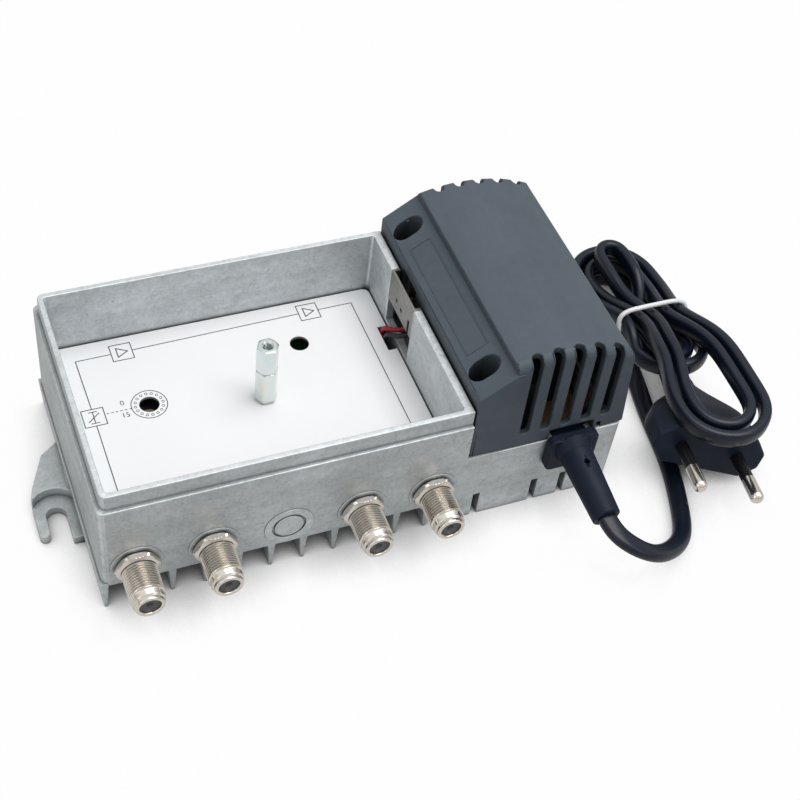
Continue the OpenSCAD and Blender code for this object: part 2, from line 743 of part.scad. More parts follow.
// Boot of the bushing: tapered, flared at its root, with a small square hole on top
boot_flare_r = 6;
boot_flare_l = 3.4;
boot_hole_w = 1.3;
boot_hole_depth = 2.4;
boot_hole_at = 8;
module boot() translate(boot_root) rotate([90 + boot_droop, 0, boot_swing]) difference() {
    union() {
        cylinder(r1 = boot_r, r2 = boot_tip_r, h = boot_l);
        cylinder(r1 = boot_flare_r, r2 = boot_r, h = boot_flare_l);
    }
    translate([0, boot_r - boot_hole_depth, boot_hole_at]) rotate([0, 45, 0])
        translate([-boot_hole_w / 2, 0, -boot_hole_w / 2]) cube([boot_hole_w, boot_r, boot_hole_w]);
}

// Bushing: flange outside the wall, neck in the wall's slot, collar inside, boot
collar_t = 1.8;
collar_out = 1.2;
bush_corner_r = 2;
module strain_relief() color([0.13, 0.15, 0.19]) place() {
    across(-bush_t, 0) round_rect([bush_x - bush_w / 2, bush_z - bush_h / 2],
        [bush_x + bush_w / 2, bush_z + bush_h / 2], bush_corner_r);
    box([bush_x - neck_w / 2 + fit, -bush_t / 2, neck_low + fit],
        [bush_x + neck_w / 2 - fit, wall_t + collar_t, seam_z - fit]);
    box([bush_x - neck_w / 2 - collar_out, wall_t, neck_low - collar_out],
        [bush_x + neck_w / 2 + collar_out, wall_t + collar_t, seam_z - fit]);
    boot();
}

// A vector turned about X, then Y, then Z
function turned_x(v, a) = [v.x, v.y * cos(a) - v.z * sin(a), v.y * sin(a) + v.z * cos(a)];
function turned_y(v, a) = [v.x * cos(a) + v.z * sin(a), v.y, v.z * cos(a) - v.x * sin(a)];
function turned_z(v, a) = [v.x * cos(a) - v.y * sin(a), v.x * sin(a) + v.y * cos(a), v.z];
function turned(v, a) = turned_z(turned_y(turned_x(v, a.x), a.y), a.z);

// Soft step from 0 to 1
function ease(t) = t <= 0 ? 0 : t >= 1 ? 1 : t * t * (3 - 2 * t);
function mix(a, b, t) = a + (b - a) * t;

// Tube of an oval, eight-sided section along a route; a roll of 0 lays its wide side flat, 90 on edge
section = [for (k = [0 : 7]) let (a = 22.5 + 45 * k) [cos(a), sin(a)] / cos(22.5) / 2];
function heading(route, i) = let (v = route[min(i + 1, len(route) - 1)] - route[max(i - 1, 0)]) v / norm(v);
function level_side(dir) = let (v = [dir.y, -dir.x, 0]) v / norm(v);
function ring(at, dir, side, roll, w, t) = let (
    up = cross(side, dir),
    wide = side * cos(roll) + up * sin(roll),
    thin = up * cos(roll) - side * sin(roll))
    [for (s = section) at + wide * s.x * w + thin * s.y * t];

module tube(route, rolls, w, t, first_side = undef) {
    sides = len(section);
    last = len(route) - 1;
    function side_at(i) = is_undef(first_side) ? level_side(heading(route, i))
        : let (v = cross(cross(heading(route, i), first_side), heading(route, i))) v / norm(v);
    points = [for (i = [0 : last]) each ring(route[i], heading(route, i), side_at(i), rolls[i], w, t)];
    walls = [for (i = [0 : last - 1], k = [0 : sides - 1])
        let (a = i * sides + k, b = i * sides + (k + 1) % sides)
        each [[a, b, b + sides], [a, b + sides, a + sides]]];
    ends = [for (k = [1 : sides - 2]) each [[0, k + 1, k], [0, k, k + 1] + [1, 1, 1] * last * sides]];
    polyhedron(points = points, faces = concat(walls, ends));
}

// Supply wires: up from the supply board, under the bracket, down through the notch in the deck plate
wire_d = 1.4;
wire_step = 2.6;
wire_route = [[112.4, 53.4, psu_board_top], [112.4, 53.4, 22], [111.4, 52.8, 26.6], [108.4, 51.2, 28.6],
    [104, 49.4, 28.6], [100.6, 49, 28], [98.2, 49.8, 27.6], [96.6, 51.6, 26.8], [96.2, 53.2, 24.6],
    [96.2, 53.4, 20], [96.2, 53.4, board_top]];
module supply_wire(step) place()
    tube([for (p = wire_route) p + [0, step, 0]], [for (p = wire_route) 0], wire_d, wire_d, [0, 1, 0]);

module supply_wire_plus() color([0.75, 0.08, 0.08]) supply_wire(0);

module supply_wire_minus() color([0.08, 0.08, 0.09]) supply_wire(-wire_step);

// Plug: where the middle of its face is, measured from the right end wall, and how it is turned
plug_at = [27.75, -8.25, 13.3];
plug_turn = [-12, 16, -17];
plug_straight = 10;
plug_taper_end = 27;
plug_tail_end = 39;
plug_tail_r = 4.8;
plug_tail_tip_r = 3.8;
plug_end = plug_at + turned([0, plug_tail_end, 0], plug_turn);
plug_back = turned([0, 1, 0], plug_turn);
module at_plug() beside() translate(plug_at) rotate(plug_turn) children();

// Hank: four oval loops in two layers, drawn in at the tie. The lower layer spirals out and the upper
// layer spirals in, and the cord climbs along the left side. The upper loops reach over the plug, the
// lower ones end behind it, all come down to the floor at the back, and the last fold lies on top.
hank_pitch = cord_t + 0.95;
hank_layer = cord_w + 1.1;
middle_lane = 4.2;
inner_lane = middle_lane + hank_pitch;
outer_lane = inner_lane + hank_pitch;
waist_depth = 4.1;
waist_len = 13;
tie_y = 40;
hank_x = 31.4;
hank_slant = 0.045;
rear_y = 67;
top_fold_y = 72;
front_y = [29.5, -2];
lead_in = 12;
lead_out = 6;
floor_rest = cord_w / 2 + 0.05;
hump_low = 3;
hump_high = 19.7;
hump_y = [14, 72];
function hank_mid(y) = hank_x + hank_slant * y;
function lane_half(lane, y) = lane - waist_depth * exp(-pow((y - tie_y) / waist_len, 2));
function hank_rest(y) = mix(hump_high, hump_low, ease((y - hump_y[0]) / (hump_y[1] - hump_y[0])));

// Height of a strand: -1 is on the floor, 0 in the lower layer, 1 in the upper layer, 2 on top of it
function layer_z(layer, y) = layer < 0 ? floor_rest : hank_rest(y) + hank_layer * layer;

// A run along one side, from one depth to another, whose lane and layer change between two depths
function steady(value) = [value, value, 0, 1];
function part_way(change, y) = ease((y - change[2]) / (change[3] - change[2]));
function strand(side, y0, y1, n, lanes, layers) = [for (i = [0 : n]) let (
    y = mix(y0, y1, i / n),
    lane = mix(lanes[0], lanes[1], part_way(lanes, y)))
    [hank_mid(y) + side * lane_half(lane, y), y,
        mix(layer_z(layers[0], y), layer_z(layers[1], y), part_way(layers, y))]];

// A half turn without its end points, from the left at the rear and from the right at the front
function fold(way, y0, n, lane, layer) = [for (i = [1 : n - 1]) let (
    a = 180 * i / n,
    half = lane_half(lane, y0),
    y = y0 + way * half * sin(a))
    [hank_mid(y0) - way * half * cos(a), y, layer_z(layer, y)]];

// The right side of a loop, with the half turn at each of its ends
function loop_side(lane, layer, run_n, fold_n) = concat(
    fold(1, rear_y, fold_n, lane, layer),
    strand(1, rear_y, front_y[layer], run_n, steady(lane), steady(layer)),
    fold(-1, front_y[layer], fold_n, lane, layer));

// The whole hank: loop by loop, with the change of lane or layer on the left side after each
function hank_route(run_n, fold_n) = concat(
    strand(-1, rear_y - lead_in, rear_y, 3, steady(inner_lane), [-1, 0, 59, 67]),
    loop_side(inner_lane, 0, run_n, fold_n),
    strand(-1, front_y[0], rear_y, run_n, [inner_lane, outer_lane, 36, 52], steady(0)),
    loop_side(outer_lane, 0, run_n, fold_n),
    strand(-1, front_y[0], rear_y, run_n, steady(outer_lane), [0, 1, 29.5, 43]),
    loop_side(outer_lane, 1, run_n, fold_n),
    strand(-1, front_y[1], rear_y, run_n, [outer_lane, inner_lane, 2, 22], steady(1)),
    loop_side(inner_lane, 1, run_n, fold_n),
    strand(-1, front_y[1], top_fold_y, run_n, [inner_lane, middle_lane, 2, 22], [1, 2, 46, 68]),
    fold(1, top_fold_y, fold_n, middle_lane, 2),
    strand(1, top_fold_y, top_fold_y - lead_out, 2, steady(middle_lane), steady(2)));

hank_run_n = 8;
hank_fold_n = 6;
hank_points = hank_route(hank_run_n, hank_fold_n);
hank_start = hank_points[0];
hank_end = hank_points[len(hank_points) - 1];
hank_in = heading(hank_points, 0);
hank_out = heading(hank_points, len(hank_points) - 1);

// Least gap of the hank to itself, on points a fifth of a ring apart and at least a fold apart on the cord
fine = 5;
function reach(way, dir) = let (side = level_side(dir), up = cross(side, dir))
    max([for (s = section) s.x * cord_w * (way * up) + s.y * cord_t * (way * side)]);
function strand_gap(p, q, p_dir, q_dir) = let (v = q - p, d = norm(v))
    d > 2 * cord_w ? d : d - reach(v / d, p_dir) - reach(v / d, q_dir);
function least_gap(route, skip) = min([
    for (i = [0 : len(route) - 1 - skip], j = [i + skip : len(route) - 1])
        strand_gap(route[i], route[j], heading(route, i), heading(route, j))]);

module mains_hank() color([0.1, 0.12, 0.17]) beside() {
    fine_points = [for (i = [0 : len(hank_points) - 2], k = [0 : fine - 1])
        mix(hank_points[i], hank_points[i + 1], k / fine)];
    echo(str("least gap of the hank to itself in mm: ", least_gap(fine_points, fine * hank_fold_n)));
    tube(hank_points, [for (p = hank_points) 90], cord_w, cord_t);
}

// Lead from the boot to the hank, and from the hank to the plug, through free points
boot_dir = turned([0, 0, 1], [90 + boot_droop, 0, boot_swing]);
boot_tip = boot_root - [housing_l, 0, 0] + boot_dir * boot_l;
lead_free = [[-10, -35.5, 17], [-2.5, -35.8, 11.5], [7.8, -30.5, 5.4], [13.4, -24.5, 2.2],
    [17.2, -14.5, 1.75], [20.6, -3.5, 1.75], [22.4, 8, 1.75], [24, 20, 1.75], [26, 29, 2.1],
    [27.2, 37, 2.6], [27.4, 45, 2.85]];
lead_rolls = [0, 0, 0, 0, 0, 0, 0, 0, 0, 0, 20, 50, 80, 90, 90];
lead_points = concat([boot_tip, boot_tip + boot_dir * cord_w], lead_free,
    [hank_start - hank_in * 4, hank_start]);
module mains_lead() color([0.1, 0.12, 0.17]) beside() tube(lead_points, lead_rolls, cord_w, cord_t);

tail_free = [[37.5, 56.5, 14.2], [35.9, 51.2, 9.6], [34.6, 46.2, 5.4], [35.6, 40.5, 3.8]];
tail_rolls = [90, 90, 90, 80, 60, 35, 20, 17];
tail_points = concat([hank_end, hank_end + hank_out * 4], tail_free,
    [plug_end + plug_back * cord_w, plug_end]);
module plug_lead() color([0.1, 0.12, 0.17]) beside() tube(tail_points, tail_rolls, cord_w, cord_t);

// Tie: a closed band square to the strands at the waist
tie_t = 1.6;
tie_r = 2.6;
tie_tilt = atan((hank_rest(tie_y + 1) - hank_rest(tie_y - 1)) / 2);
tie_room = 0.45;
tie_half = [lane_half(outer_lane, tie_y) + cord_t / 2 + tie_room,
    hank_layer / 2 * cos(tie_tilt) + cord_w / 2 + tie_room];
module cable_tie() color([0.93, 0.93, 0.92]) beside()
    translate([hank_mid(tie_y), tie_y, hank_rest(tie_y) + hank_layer / 2]) rotate([tie_tilt, 0, 0])
        across(-tie_t / 2, tie_t / 2) difference() {
            round_rect(-tie_half - [tie_t, tie_t], tie_half + [tie_t, tie_t], tie_r);
            round_rect(-tie_half, tie_half, tie_r - tie_t);
        }

// Plug body: bevelled face outline, narrowing plan and thinning side, with a ribbed tail
plug_bevel = [4.2, 4.3];
plug_grooves = 4;
groove_w = 1.1;
groove_depth = 0.9;
groove_pitch = 2.5;
pin_core_r = pin_d / 2 - 0.6;
pin_depth = 8;
module plug_face() {
    x = plug_w / 2;
    z = plug_h / 2;
    polygon([[-x, -z + plug_bevel.y], [-x + plug_bevel.x, -z], [x - plug_bevel.x, -z],
        [x, -z + plug_bevel.y], [x, z - plug_bevel.y], [x - plug_bevel.x, z],
        [-x + plug_bevel.x, z], [-x, z - plug_bevel.y]]);
}

module plug_plan() {
    x = plug_w / 2;
    polygon([[-x, 2], [-x + 0.5, 0.6], [-x + 1.8, 0], [x - 1.8, 0], [x - 0.5, 0.6], [x, 2],
        [x, plug_straight], [x - 2.4, plug_straight + 5.5],
        [plug_tail_r + 2.5, plug_taper_end - 4], [plug_tail_r, plug_taper_end],
        [-plug_tail_r, plug_taper_end], [-plug_tail_r - 2.5, plug_taper_end - 4],
        [-x + 2.4, plug_straight + 5.5], [-x, plug_straight]]);
}

module plug_side() {
    z = plug_h / 2;
    polygon([[0, -z], [plug_straight + 4, -z], [plug_taper_end, -plug_tail_r],
        [plug_taper_end, plug_tail_r], [plug_straight + 4, z], [0, z]]);
}

module plug_tail() {
    length = plug_tail_end - plug_taper_end;
    translate([0, plug_taper_end, 0]) rotate([-90, 0, 0]) rotate_extrude() difference() {
        polygon([[0, 0], [plug_tail_r, 0], [plug_tail_tip_r, length], [0, length]]);
        for (i = [0 : plug_grooves - 1])
            translate([plug_tail_r - groove_depth - 0.08 * groove_pitch * i, groove_w + groove_pitch * i])
                square([plug_tail_r, groove_w]);
    }
}

module at_pins() for (x = [-pin_gap / 2, pin_gap / 2]) translate([x, 0, 0]) rotate([90, 0, 0]) children();

module plug_body() color([0.12, 0.14, 0.2]) at_plug() difference() {
    union() {
        intersection() {
            across(0, plug_taper_end) plug_face();
            translate([0, 0, -plug_h]) linear_extrude(2 * plug_h) plug_plan();
            translate([-plug_w, 0, 0]) rotate([90, 0, 90]) linear_extrude(2 * plug_w) plug_side();
        }
        plug_tail();
    }
    at_pins() translate([0, 0, -pin_depth]) cylinder(r = pin_core_r + press, h = pin_depth + cut);
}

// Pins: a thin core in the body and the sleeve, and a full-size round-nosed tip
sleeve_l = 10;
pin_nose = 1;
module plug_pins() color([0.72, 0.7, 0.66]) at_plug() at_pins() {
    translate([0, 0, -pin_depth]) cylinder(r = pin_core_r, h = pin_depth + sleeve_l + cut);
    translate([0, 0, sleeve_l]) cylinder(d = pin_d, h = pin_l - sleeve_l - pin_nose);
    translate([0, 0, pin_l - pin_nose]) cylinder(d1 = pin_d, d2 = pin_d - 1.4 * pin_nose, h = pin_nose);
}

sleeve_step = 0.1;
module plug_pin_sleeves() color([0.08, 0.08, 0.09]) at_plug() at_pins() difference() {
    cylinder(r = pin_d / 2 - sleeve_step, h = sleeve_l);
    translate([0, 0, -cut]) cylinder(r = pin_core_r + press, h = sleeve_l + 2 * cut);
}

housing();
psu_cover();
cover_screws();
deck_plate();
standoff_lower();
standoff_upper();
amplifier_board();
board_screws();
amplifier_module();
attenuator_body();
attenuator_rotor();
power_led();
shield_bracket();
supply_wire_plus();
supply_wire_minus();
for (i = [0 : 3]) {
    port_body(port_places[i]);
    port_nut(port_places[i]);
    port_insulator(port_places[i]);
    port_contact(port_places[i]);
}
psu_board();
psu_screws();
transformer_core();
transformer_coil();
input_capacitor();
output_capacitor();
suppression_capacitor();
fuse();
rectifier();
strain_relief();
mains_lead();
mains_hank();
plug_lead();
cable_tie();
plug_body();
plug_pins();
plug_pin_sleeves();
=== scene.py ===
"""Looks of an open TV signal amplifier.

A finned die casting with an open amplifier bay, four threaded ports, a vented plastic hood over the
power supply, and a flat mains cord tied into a hank. Each operator makes one group of pieces.
"""

import math
from functools import cache

import bmesh
import bpy
import numpy as np
from bpy.props import FloatProperty, FloatVectorProperty, IntProperty, PointerProperty
from mathutils import Matrix, Vector


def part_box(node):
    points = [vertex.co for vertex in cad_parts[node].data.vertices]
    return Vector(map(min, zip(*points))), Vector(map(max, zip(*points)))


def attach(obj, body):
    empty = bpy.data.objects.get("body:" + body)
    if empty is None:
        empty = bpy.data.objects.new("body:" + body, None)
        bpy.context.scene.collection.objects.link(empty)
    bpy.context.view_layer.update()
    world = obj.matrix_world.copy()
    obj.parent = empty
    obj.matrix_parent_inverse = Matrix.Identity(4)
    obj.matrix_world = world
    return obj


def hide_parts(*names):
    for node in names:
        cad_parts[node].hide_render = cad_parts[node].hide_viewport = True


bl_info = {
    "name": "TV signal amplifier",
    "version": (1, 0, 0),
    "blender": (4, 5, 0),
    "location": "View3D > Sidebar > Amplifier",
    "description": "Makes the looks of an open TV signal amplifier round its packed frame",
    "category": "Add Mesh",
}

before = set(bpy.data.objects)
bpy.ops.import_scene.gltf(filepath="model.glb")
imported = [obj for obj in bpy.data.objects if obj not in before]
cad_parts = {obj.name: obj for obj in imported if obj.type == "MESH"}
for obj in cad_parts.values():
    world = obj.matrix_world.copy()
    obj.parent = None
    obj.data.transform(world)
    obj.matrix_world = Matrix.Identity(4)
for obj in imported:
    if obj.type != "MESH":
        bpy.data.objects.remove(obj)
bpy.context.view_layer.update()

MM = 0.001
ROOT = "amplifier"
ROTOR = "switch_rotor"

# The casting is measured in millimetres from its front left corner on the ground
PLATE_MARGIN = 3.1 * MM
PLATE_LOW, PLATE_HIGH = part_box("deck_plate")
PLATE_TOP = PLATE_HIGH.z
CORNER = np.array([PLATE_LOW.x - PLATE_MARGIN, PLATE_LOW.y - PLATE_MARGIN, 0.0])
CASTING_LENGTH = 148.0
UP = np.array([0.0, 0.0, 1.0])

# Wide and thin side of the flat cord, in millimetres
CORD_W = 5.4
CORD_T = 3.4


def casting(points):
    """Millimetres from the casting's corner, as metres in the frame."""
    return CORNER + np.asarray(points, float) * MM


def beside(points):
    """Millimetres from the right end wall, as metres in the frame: the cord and plug are measured so."""
    return casting(np.asarray(points, float) + np.array([CASTING_LENGTH, 0.0, 0.0]))


# Settings that a user would change


class StageSettings(bpy.types.PropertyGroup):
    """Camera, floor and light."""

    camera_place: FloatVectorProperty(
        name="Camera place", description="Where the camera stands", subtype="XYZ", unit="LENGTH",
        default=(-0.110616, -0.246991, 0.337578))
    camera_heading: FloatProperty(
        name="Heading", description="Turn of the view from +Y towards +X", subtype="ANGLE",
        default=math.radians(27.725))
    camera_dip: FloatProperty(
        name="Dip", description="How far the view looks down", subtype="ANGLE", default=math.radians(48.69))
    camera_roll: FloatProperty(
        name="Roll", description="How far the camera's right side is raised", subtype="ANGLE",
        default=math.radians(8.817))
    lens: FloatProperty(name="Lens", description="Focal length", unit="CAMERA", default=66.93)
    floor_colour: FloatVectorProperty(
        name="Floor", description="Colour of the floor", subtype="COLOR", default=(0.34, 0.34, 0.345))
    sky_strength: FloatProperty(name="Sky", description="Strength of the even light", default=0.45)
    key_power: FloatProperty(
        name="Key lamp", description="Power of the large lamp", unit="POWER", default=8.2)
    fill_power: FloatProperty(
        name="Fill lamps", description="Power of the side lamps", unit="POWER", default=0.8)


class MetalSettings(bpy.types.PropertyGroup):
    """Colours and edges of the metal pieces."""

    cast_colour: FloatVectorProperty(
        name="Casting", description="Colour of the die casting", subtype="COLOR", default=(0.56, 0.59, 0.6))
    cast_edge: FloatProperty(
        name="Cast edges", description="Rounding of the casting's edges", unit="LENGTH", default=0.26 * MM)
    nickel_colour: FloatVectorProperty(
        name="Nickel", description="Colour of the plated ports and pins", subtype="COLOR",
        default=(0.8, 0.745, 0.675))
    zinc_colour: FloatVectorProperty(
        name="Zinc", description="Colour of the plated spacers", subtype="COLOR", default=(0.7, 0.8, 0.8))
    thread_pitch: FloatProperty(
        name="Port thread pitch", description="Advance of the port's thread in one turn", unit="LENGTH",
        default=25.4 / 32 * MM)
    thread_depth: FloatProperty(
        name="Port thread depth", description="Depth of the port's thread", unit="LENGTH", default=0.5 * MM)


class PlasticSettings(bpy.types.PropertyGroup):
    """Colours and edges of the plastic pieces."""

    hood_colour: FloatVectorProperty(
        name="Hood", description="Colour of the hood", subtype="COLOR", default=(0.08, 0.1, 0.12))
    hood_edge: FloatProperty(
        name="Hood edges", description="Rounding of the hood's edges", unit="LENGTH", default=0.3 * MM)
    cord_colour: FloatVectorProperty(
        name="Cord", description="Colour of the cord and plug", subtype="COLOR",
        default=(0.008, 0.013, 0.026))
    tie_colour: FloatVectorProperty(
        name="Tie", description="Colour of the tie", subtype="COLOR", default=(0.82, 0.83, 0.85))
    plate_colour: FloatVectorProperty(
        name="Plate", description="Colour of the deck plate", subtype="COLOR", default=(0.86, 0.865, 0.88))
    ink_colour: FloatVectorProperty(
        name="Ink", description="Colour of the printed marks", subtype="COLOR", default=(0.03, 0.03, 0.034))
    line_width: FloatProperty(
        name="Line width", description="Width of the printed lines", unit="LENGTH", default=0.27 * MM)


class CordSettings(bpy.types.PropertyGroup):
    """Sizes of the flat cord."""

    width: FloatProperty(
        name="Width", description="Wide side of the cord", unit="LENGTH", default=CORD_W * MM)
    thickness: FloatProperty(
        name="Thickness", description="Thin side of the cord", unit="LENGTH", default=CORD_T * MM)
    ring_step: FloatProperty(
        name="Ring step", description="Distance between the cord's rings", unit="LENGTH", default=1.4 * MM)
    sides: IntProperty(name="Sides", description="Points round the cord", default=24)


# Surfaces

# Points nearer than this become one, in new pieces and in copies of CAD nodes
NEW_MERGE = 1e-4 * MM
COPY_MERGE = 0.01 * MM


def grid_faces(rows, columns, wrap_rows, wrap_columns):
    """Quads that join each point of a grid to its next neighbours along both parameters."""
    i, j = np.meshgrid(
        np.arange(rows if wrap_rows else rows - 1),
        np.arange(columns if wrap_columns else columns - 1), indexing="ij")
    i, j = i.ravel(), j.ravel()
    below, beyond = (i + 1) % rows, (j + 1) % columns
    corners = (i * columns + j, below * columns + j, below * columns + beyond, i * columns + beyond)
    return np.stack(corners, axis=1)


def closed_tube(points, wrap_rows=False):
    """Vertices and faces of a tube on a grid of rings, whose ends are flat unless the rows join up."""
    rows, columns = points.shape[:2]
    faces = grid_faces(rows, columns, wrap_rows, True).tolist()
    if not wrap_rows:
        faces.append(list(range(columns)))
        faces.append(list(range((rows - 1) * columns, rows * columns))[::-1])
    return points.reshape(-1, 3), faces


def joined(parts):
    """Several sets of vertices and faces as one set."""
    vertices, faces, start = [], [], 0
    for points, polygons in parts:
        vertices.append(points)
        faces.extend([[index + start for index in polygon] for polygon in polygons])
        start += len(points)
    return np.concatenate(vertices), faces


def put_in_scene(name, data):
    """A new object that shows a mesh, a lamp or a camera."""
    made = bpy.data.objects.new(name, data)
    bpy.context.scene.collection.objects.link(made)
    return made


def new_piece(name, shape, material, body=ROOT, stands_for=(), sharp=math.radians(35)):
    """A mesh piece with outward faces and smooth shading up to an angle, riding on a body."""
    vertices, faces = shape
    mesh = bpy.data.meshes.new(name)
    mesh.from_pydata(vertices.tolist(), [], faces)
    form = bmesh.new()
    form.from_mesh(mesh)
    bmesh.ops.remove_doubles(form, verts=form.verts, dist=NEW_MERGE)
    bmesh.ops.recalc_face_normals(form, faces=form.faces)
    form.to_mesh(mesh)
    form.free()
    mesh.shade_smooth()
    mesh.set_sharp_from_angle(angle=sharp)
    mesh.materials.append(material)
    return settle(put_in_scene(name, mesh), body, stands_for)


def settle(piece, body, stands_for):
    """Puts a piece on its body and hides the nodes that it stands for."""
    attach(piece, body)
    if stands_for:
        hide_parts(*stands_for)
    return piece


SHARP = math.radians(26)
BEVEL_SHARE = 0.42


def smooth_regions(form):
    """Number of the smooth region of each face: faces that meet at less than the sharp angle share one."""
    region = {}
    count = 0
    for first in form.faces:
        if first in region:
            continue
        region[first] = count
        count += 1
        waiting = [first]
        while waiting:
            face = waiting.pop()
            for edge in face.edges:
                for other in edge.link_faces:
                    if other not in region and edge.calc_face_angle(0.0) < SHARP:
                        region[other] = region[first]
                        waiting.append(other)
    return region


def weigh_edges(form, width):
    """Bevel weights of the outer sharp edges: a region's room is twice its area over its outline, and an
    edge beside a narrow region is rounded less."""
    weights = form.edges.layers.float.new("bevel_weight_edge")
    region = smooth_regions(form)
    count = max(region.values()) + 1
    area, outline = np.zeros(count), np.zeros(count)
    sharp = [e for e in form.edges if len(e.link_faces) == 2 and e.calc_face_angle(0.0) >= SHARP]
    convex = [e for e in sharp if e.is_convex]
    for face, number in region.items():
        area[number] += face.calc_area()
    for edge in sharp:
        for face in edge.link_faces:
            outline[region[face]] += edge.calc_length()
    room = 2 * area / np.maximum(outline, 1e-9)
    for edge in convex:
        least = min(room[region[face]] for face in edge.link_faces)
        edge[weights] = min(1.0, BEVEL_SHARE * least / width)


def coat(mesh, material):
    """Gives a mesh one material in place of those that it has."""
    mesh.materials.clear()
    mesh.materials.append(material)


def softened(node, material, edge, segments=3, body=ROOT):
    """A merged copy of a CAD node whose sharp edges are rounded by a Bevel, standing for that node."""
    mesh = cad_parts[node].data.copy()
    form = bmesh.new()
    form.from_mesh(mesh)
    bmesh.ops.remove_doubles(form, verts=form.verts, dist=COPY_MERGE)
    weigh_edges(form, edge)
    form.to_mesh(mesh)
    form.free()
    if "custom_normal" in mesh.attributes:
        mesh.attributes.remove(mesh.attributes["custom_normal"])
    mesh.shade_smooth()
    mesh.set_sharp_from_angle(angle=SHARP)
    coat(mesh, material)
    piece = put_in_scene(node + "_skin", mesh)
    bevel = piece.modifiers.new("Edges", "BEVEL")
    bevel.width = edge
    bevel.segments = segments
    bevel.limit_method = "WEIGHT"
    bevel.use_clamp_overlap = False
    bevel.loop_slide = False
    evened = piece.modifiers.new("Normals", "WEIGHTED_NORMAL")
    evened.keep_sharp = True
    return settle(piece, body, [node])


def paint(node, material):
    """Gives a CAD node, whose shape stays, a better material."""
    coat(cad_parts[node].data, material)


def ring_section(count, width, height, power):
    """Closed oval of the given width and height; a power of 2 is an ellipse, more is squarer."""
    a = np.linspace(0.0, 2 * np.pi, count, endpoint=False)
    squeeze = 2.0 / power
    x = np.sign(np.cos(a)) * np.abs(np.cos(a)) ** squeeze * width / 2
    y = np.sign(np.sin(a)) * np.abs(np.sin(a)) ** squeeze * height / 2
    return np.stack([x, y], axis=1)


def swept(path, wide, thin, section):
    """A section carried along a path: each point is the path's plus the two cross directions, scaled."""
    return path[:, None] + wide[:, None] * section[None, :, :1] + thin[:, None] * section[None, :, 1:]


def unit(vectors):
    """Vectors of length one."""
    return vectors / np.linalg.norm(vectors, axis=-1, keepdims=True)


def full_turn(columns):
    """Angles of a whole turn, with the first one again at the end."""
    return np.linspace(0.0, 2 * np.pi, columns + 1)


def about_axis(radius, angle, height):
    """Points at a radius and a height, turned about Z by an angle."""
    return np.stack(np.broadcast_arrays(radius * np.cos(angle), radius * np.sin(angle), height), axis=2)


def turned(profile, columns):
    """Surface of revolution about Z: each profile row is (radius, height), the columns are the turn."""
    return about_axis(profile[:, :1], full_turn(columns), profile[:, 1:])


# One turn of a thread, as shares of its pitch and of its depth
THREAD_SHAPE = np.array([(0.0, 0.0), (0.16, 0.0), (0.44, 1.0), (0.56, 1.0), (0.84, 0.0)])


def helix(start, end, pitch, crest, root, columns):
    """A thread about Z: a row's height grows by one pitch in a turn and is held between the ends; its
    radius goes from crest to root and back along straight flanks, and fades to the crest at the ends."""
    a = full_turn(columns)
    turns = np.arange(-1, math.ceil((end - start) / pitch) + 1)
    along = start + pitch * (turns[:, None] + THREAD_SHAPE[:, 0]).reshape(-1, 1)
    share = np.tile(THREAD_SHAPE[:, 1], len(turns))[:, None]
    height = np.clip(along + pitch * a / (2 * np.pi), start, end)
    fade = np.clip(np.minimum(height - start, end - height) / (0.5 * pitch), 0.0, 1.0)
    radius = crest + (root - crest) * share * fade
    return about_axis(radius, a, height)


# Chamfer of a hexagonal bar: the cone's least radius as a share of the half width, its slope and its depth
CONE_SHARE = 0.88
CONE_SLOPE = 1.73
CONE_DEPTH = 0.6


def hex_bar(across_flats, length, columns):
    """Outside of a hexagonal bar: its radius is the hexagon's, held by a cone that opens from each end."""
    a = full_turn(columns)
    flat = across_flats / 2
    sides = flat / np.cos(np.mod(a, np.pi / 3) - np.pi / 6)
    rise = np.linspace(0.0, CONE_DEPTH, 9)
    height = np.concatenate([rise, [length / 2], length - rise[::-1]])[:, None]
    cone = CONE_SHARE * flat + CONE_SLOPE * np.minimum(height, length - height)
    return about_axis(np.minimum(sides, cone), a, height)


def turned_shell(points, wrap_rows=False):
    """Vertices and faces of a turned surface, whose first and last columns meet and are merged later."""
    rows, columns = points.shape[:2]
    return points.reshape(-1, 3), grid_faces(rows, columns, wrap_rows, False).tolist()


# Shader parts


def feed(tree, node, inputs):
    """Sets a node's inputs to values, or joins them to sockets; an underscore in a name is a space."""
    for name, value in inputs.items():
        socket = node.inputs[name.replace("_", " ") if isinstance(name, str) else name]
        if isinstance(value, bpy.types.NodeSocket):
            tree.links.new(value, socket)
        else:
            socket.default_value = value
    return node


def add_node(tree, kind, inputs, **options):
    """A shader node with its options and inputs set."""
    made = tree.nodes.new(kind)
    for name, value in options.items():
        setattr(made, name, value)
    return feed(tree, made, inputs)


def mixed(tree, factor, first, second):
    """Colour between two colours or sockets by a factor."""
    return add_node(tree, "ShaderNodeMix", {0: factor, 6: first, 7: second}, data_type="RGBA").outputs[2]


def ranged(tree, value, low, high, to_low, to_high):
    """A value carried from one range to another, without overshoot."""
    made = add_node(tree, "ShaderNodeMapRange", {
        "Value": value, "From Min": low, "From Max": high, "To Min": to_low, "To Max": to_high})
    return made.outputs["Result"]


def counted(tree, operation, first, second):
    """The result of one operation on two values or sockets."""
    return add_node(tree, "ShaderNodeMath", {0: first, 1: second}, operation=operation).outputs[0]


def noise(tree, vector, scale, detail=3.0, roughness=0.55, distortion=0.0):
    """Soft noise between about 0.25 and 0.75."""
    made = add_node(tree, "ShaderNodeTexNoise", {
        "Vector": vector, "Scale": scale, "Detail": detail, "Roughness": roughness, "Distortion": distortion})
    return made.outputs["Fac"]


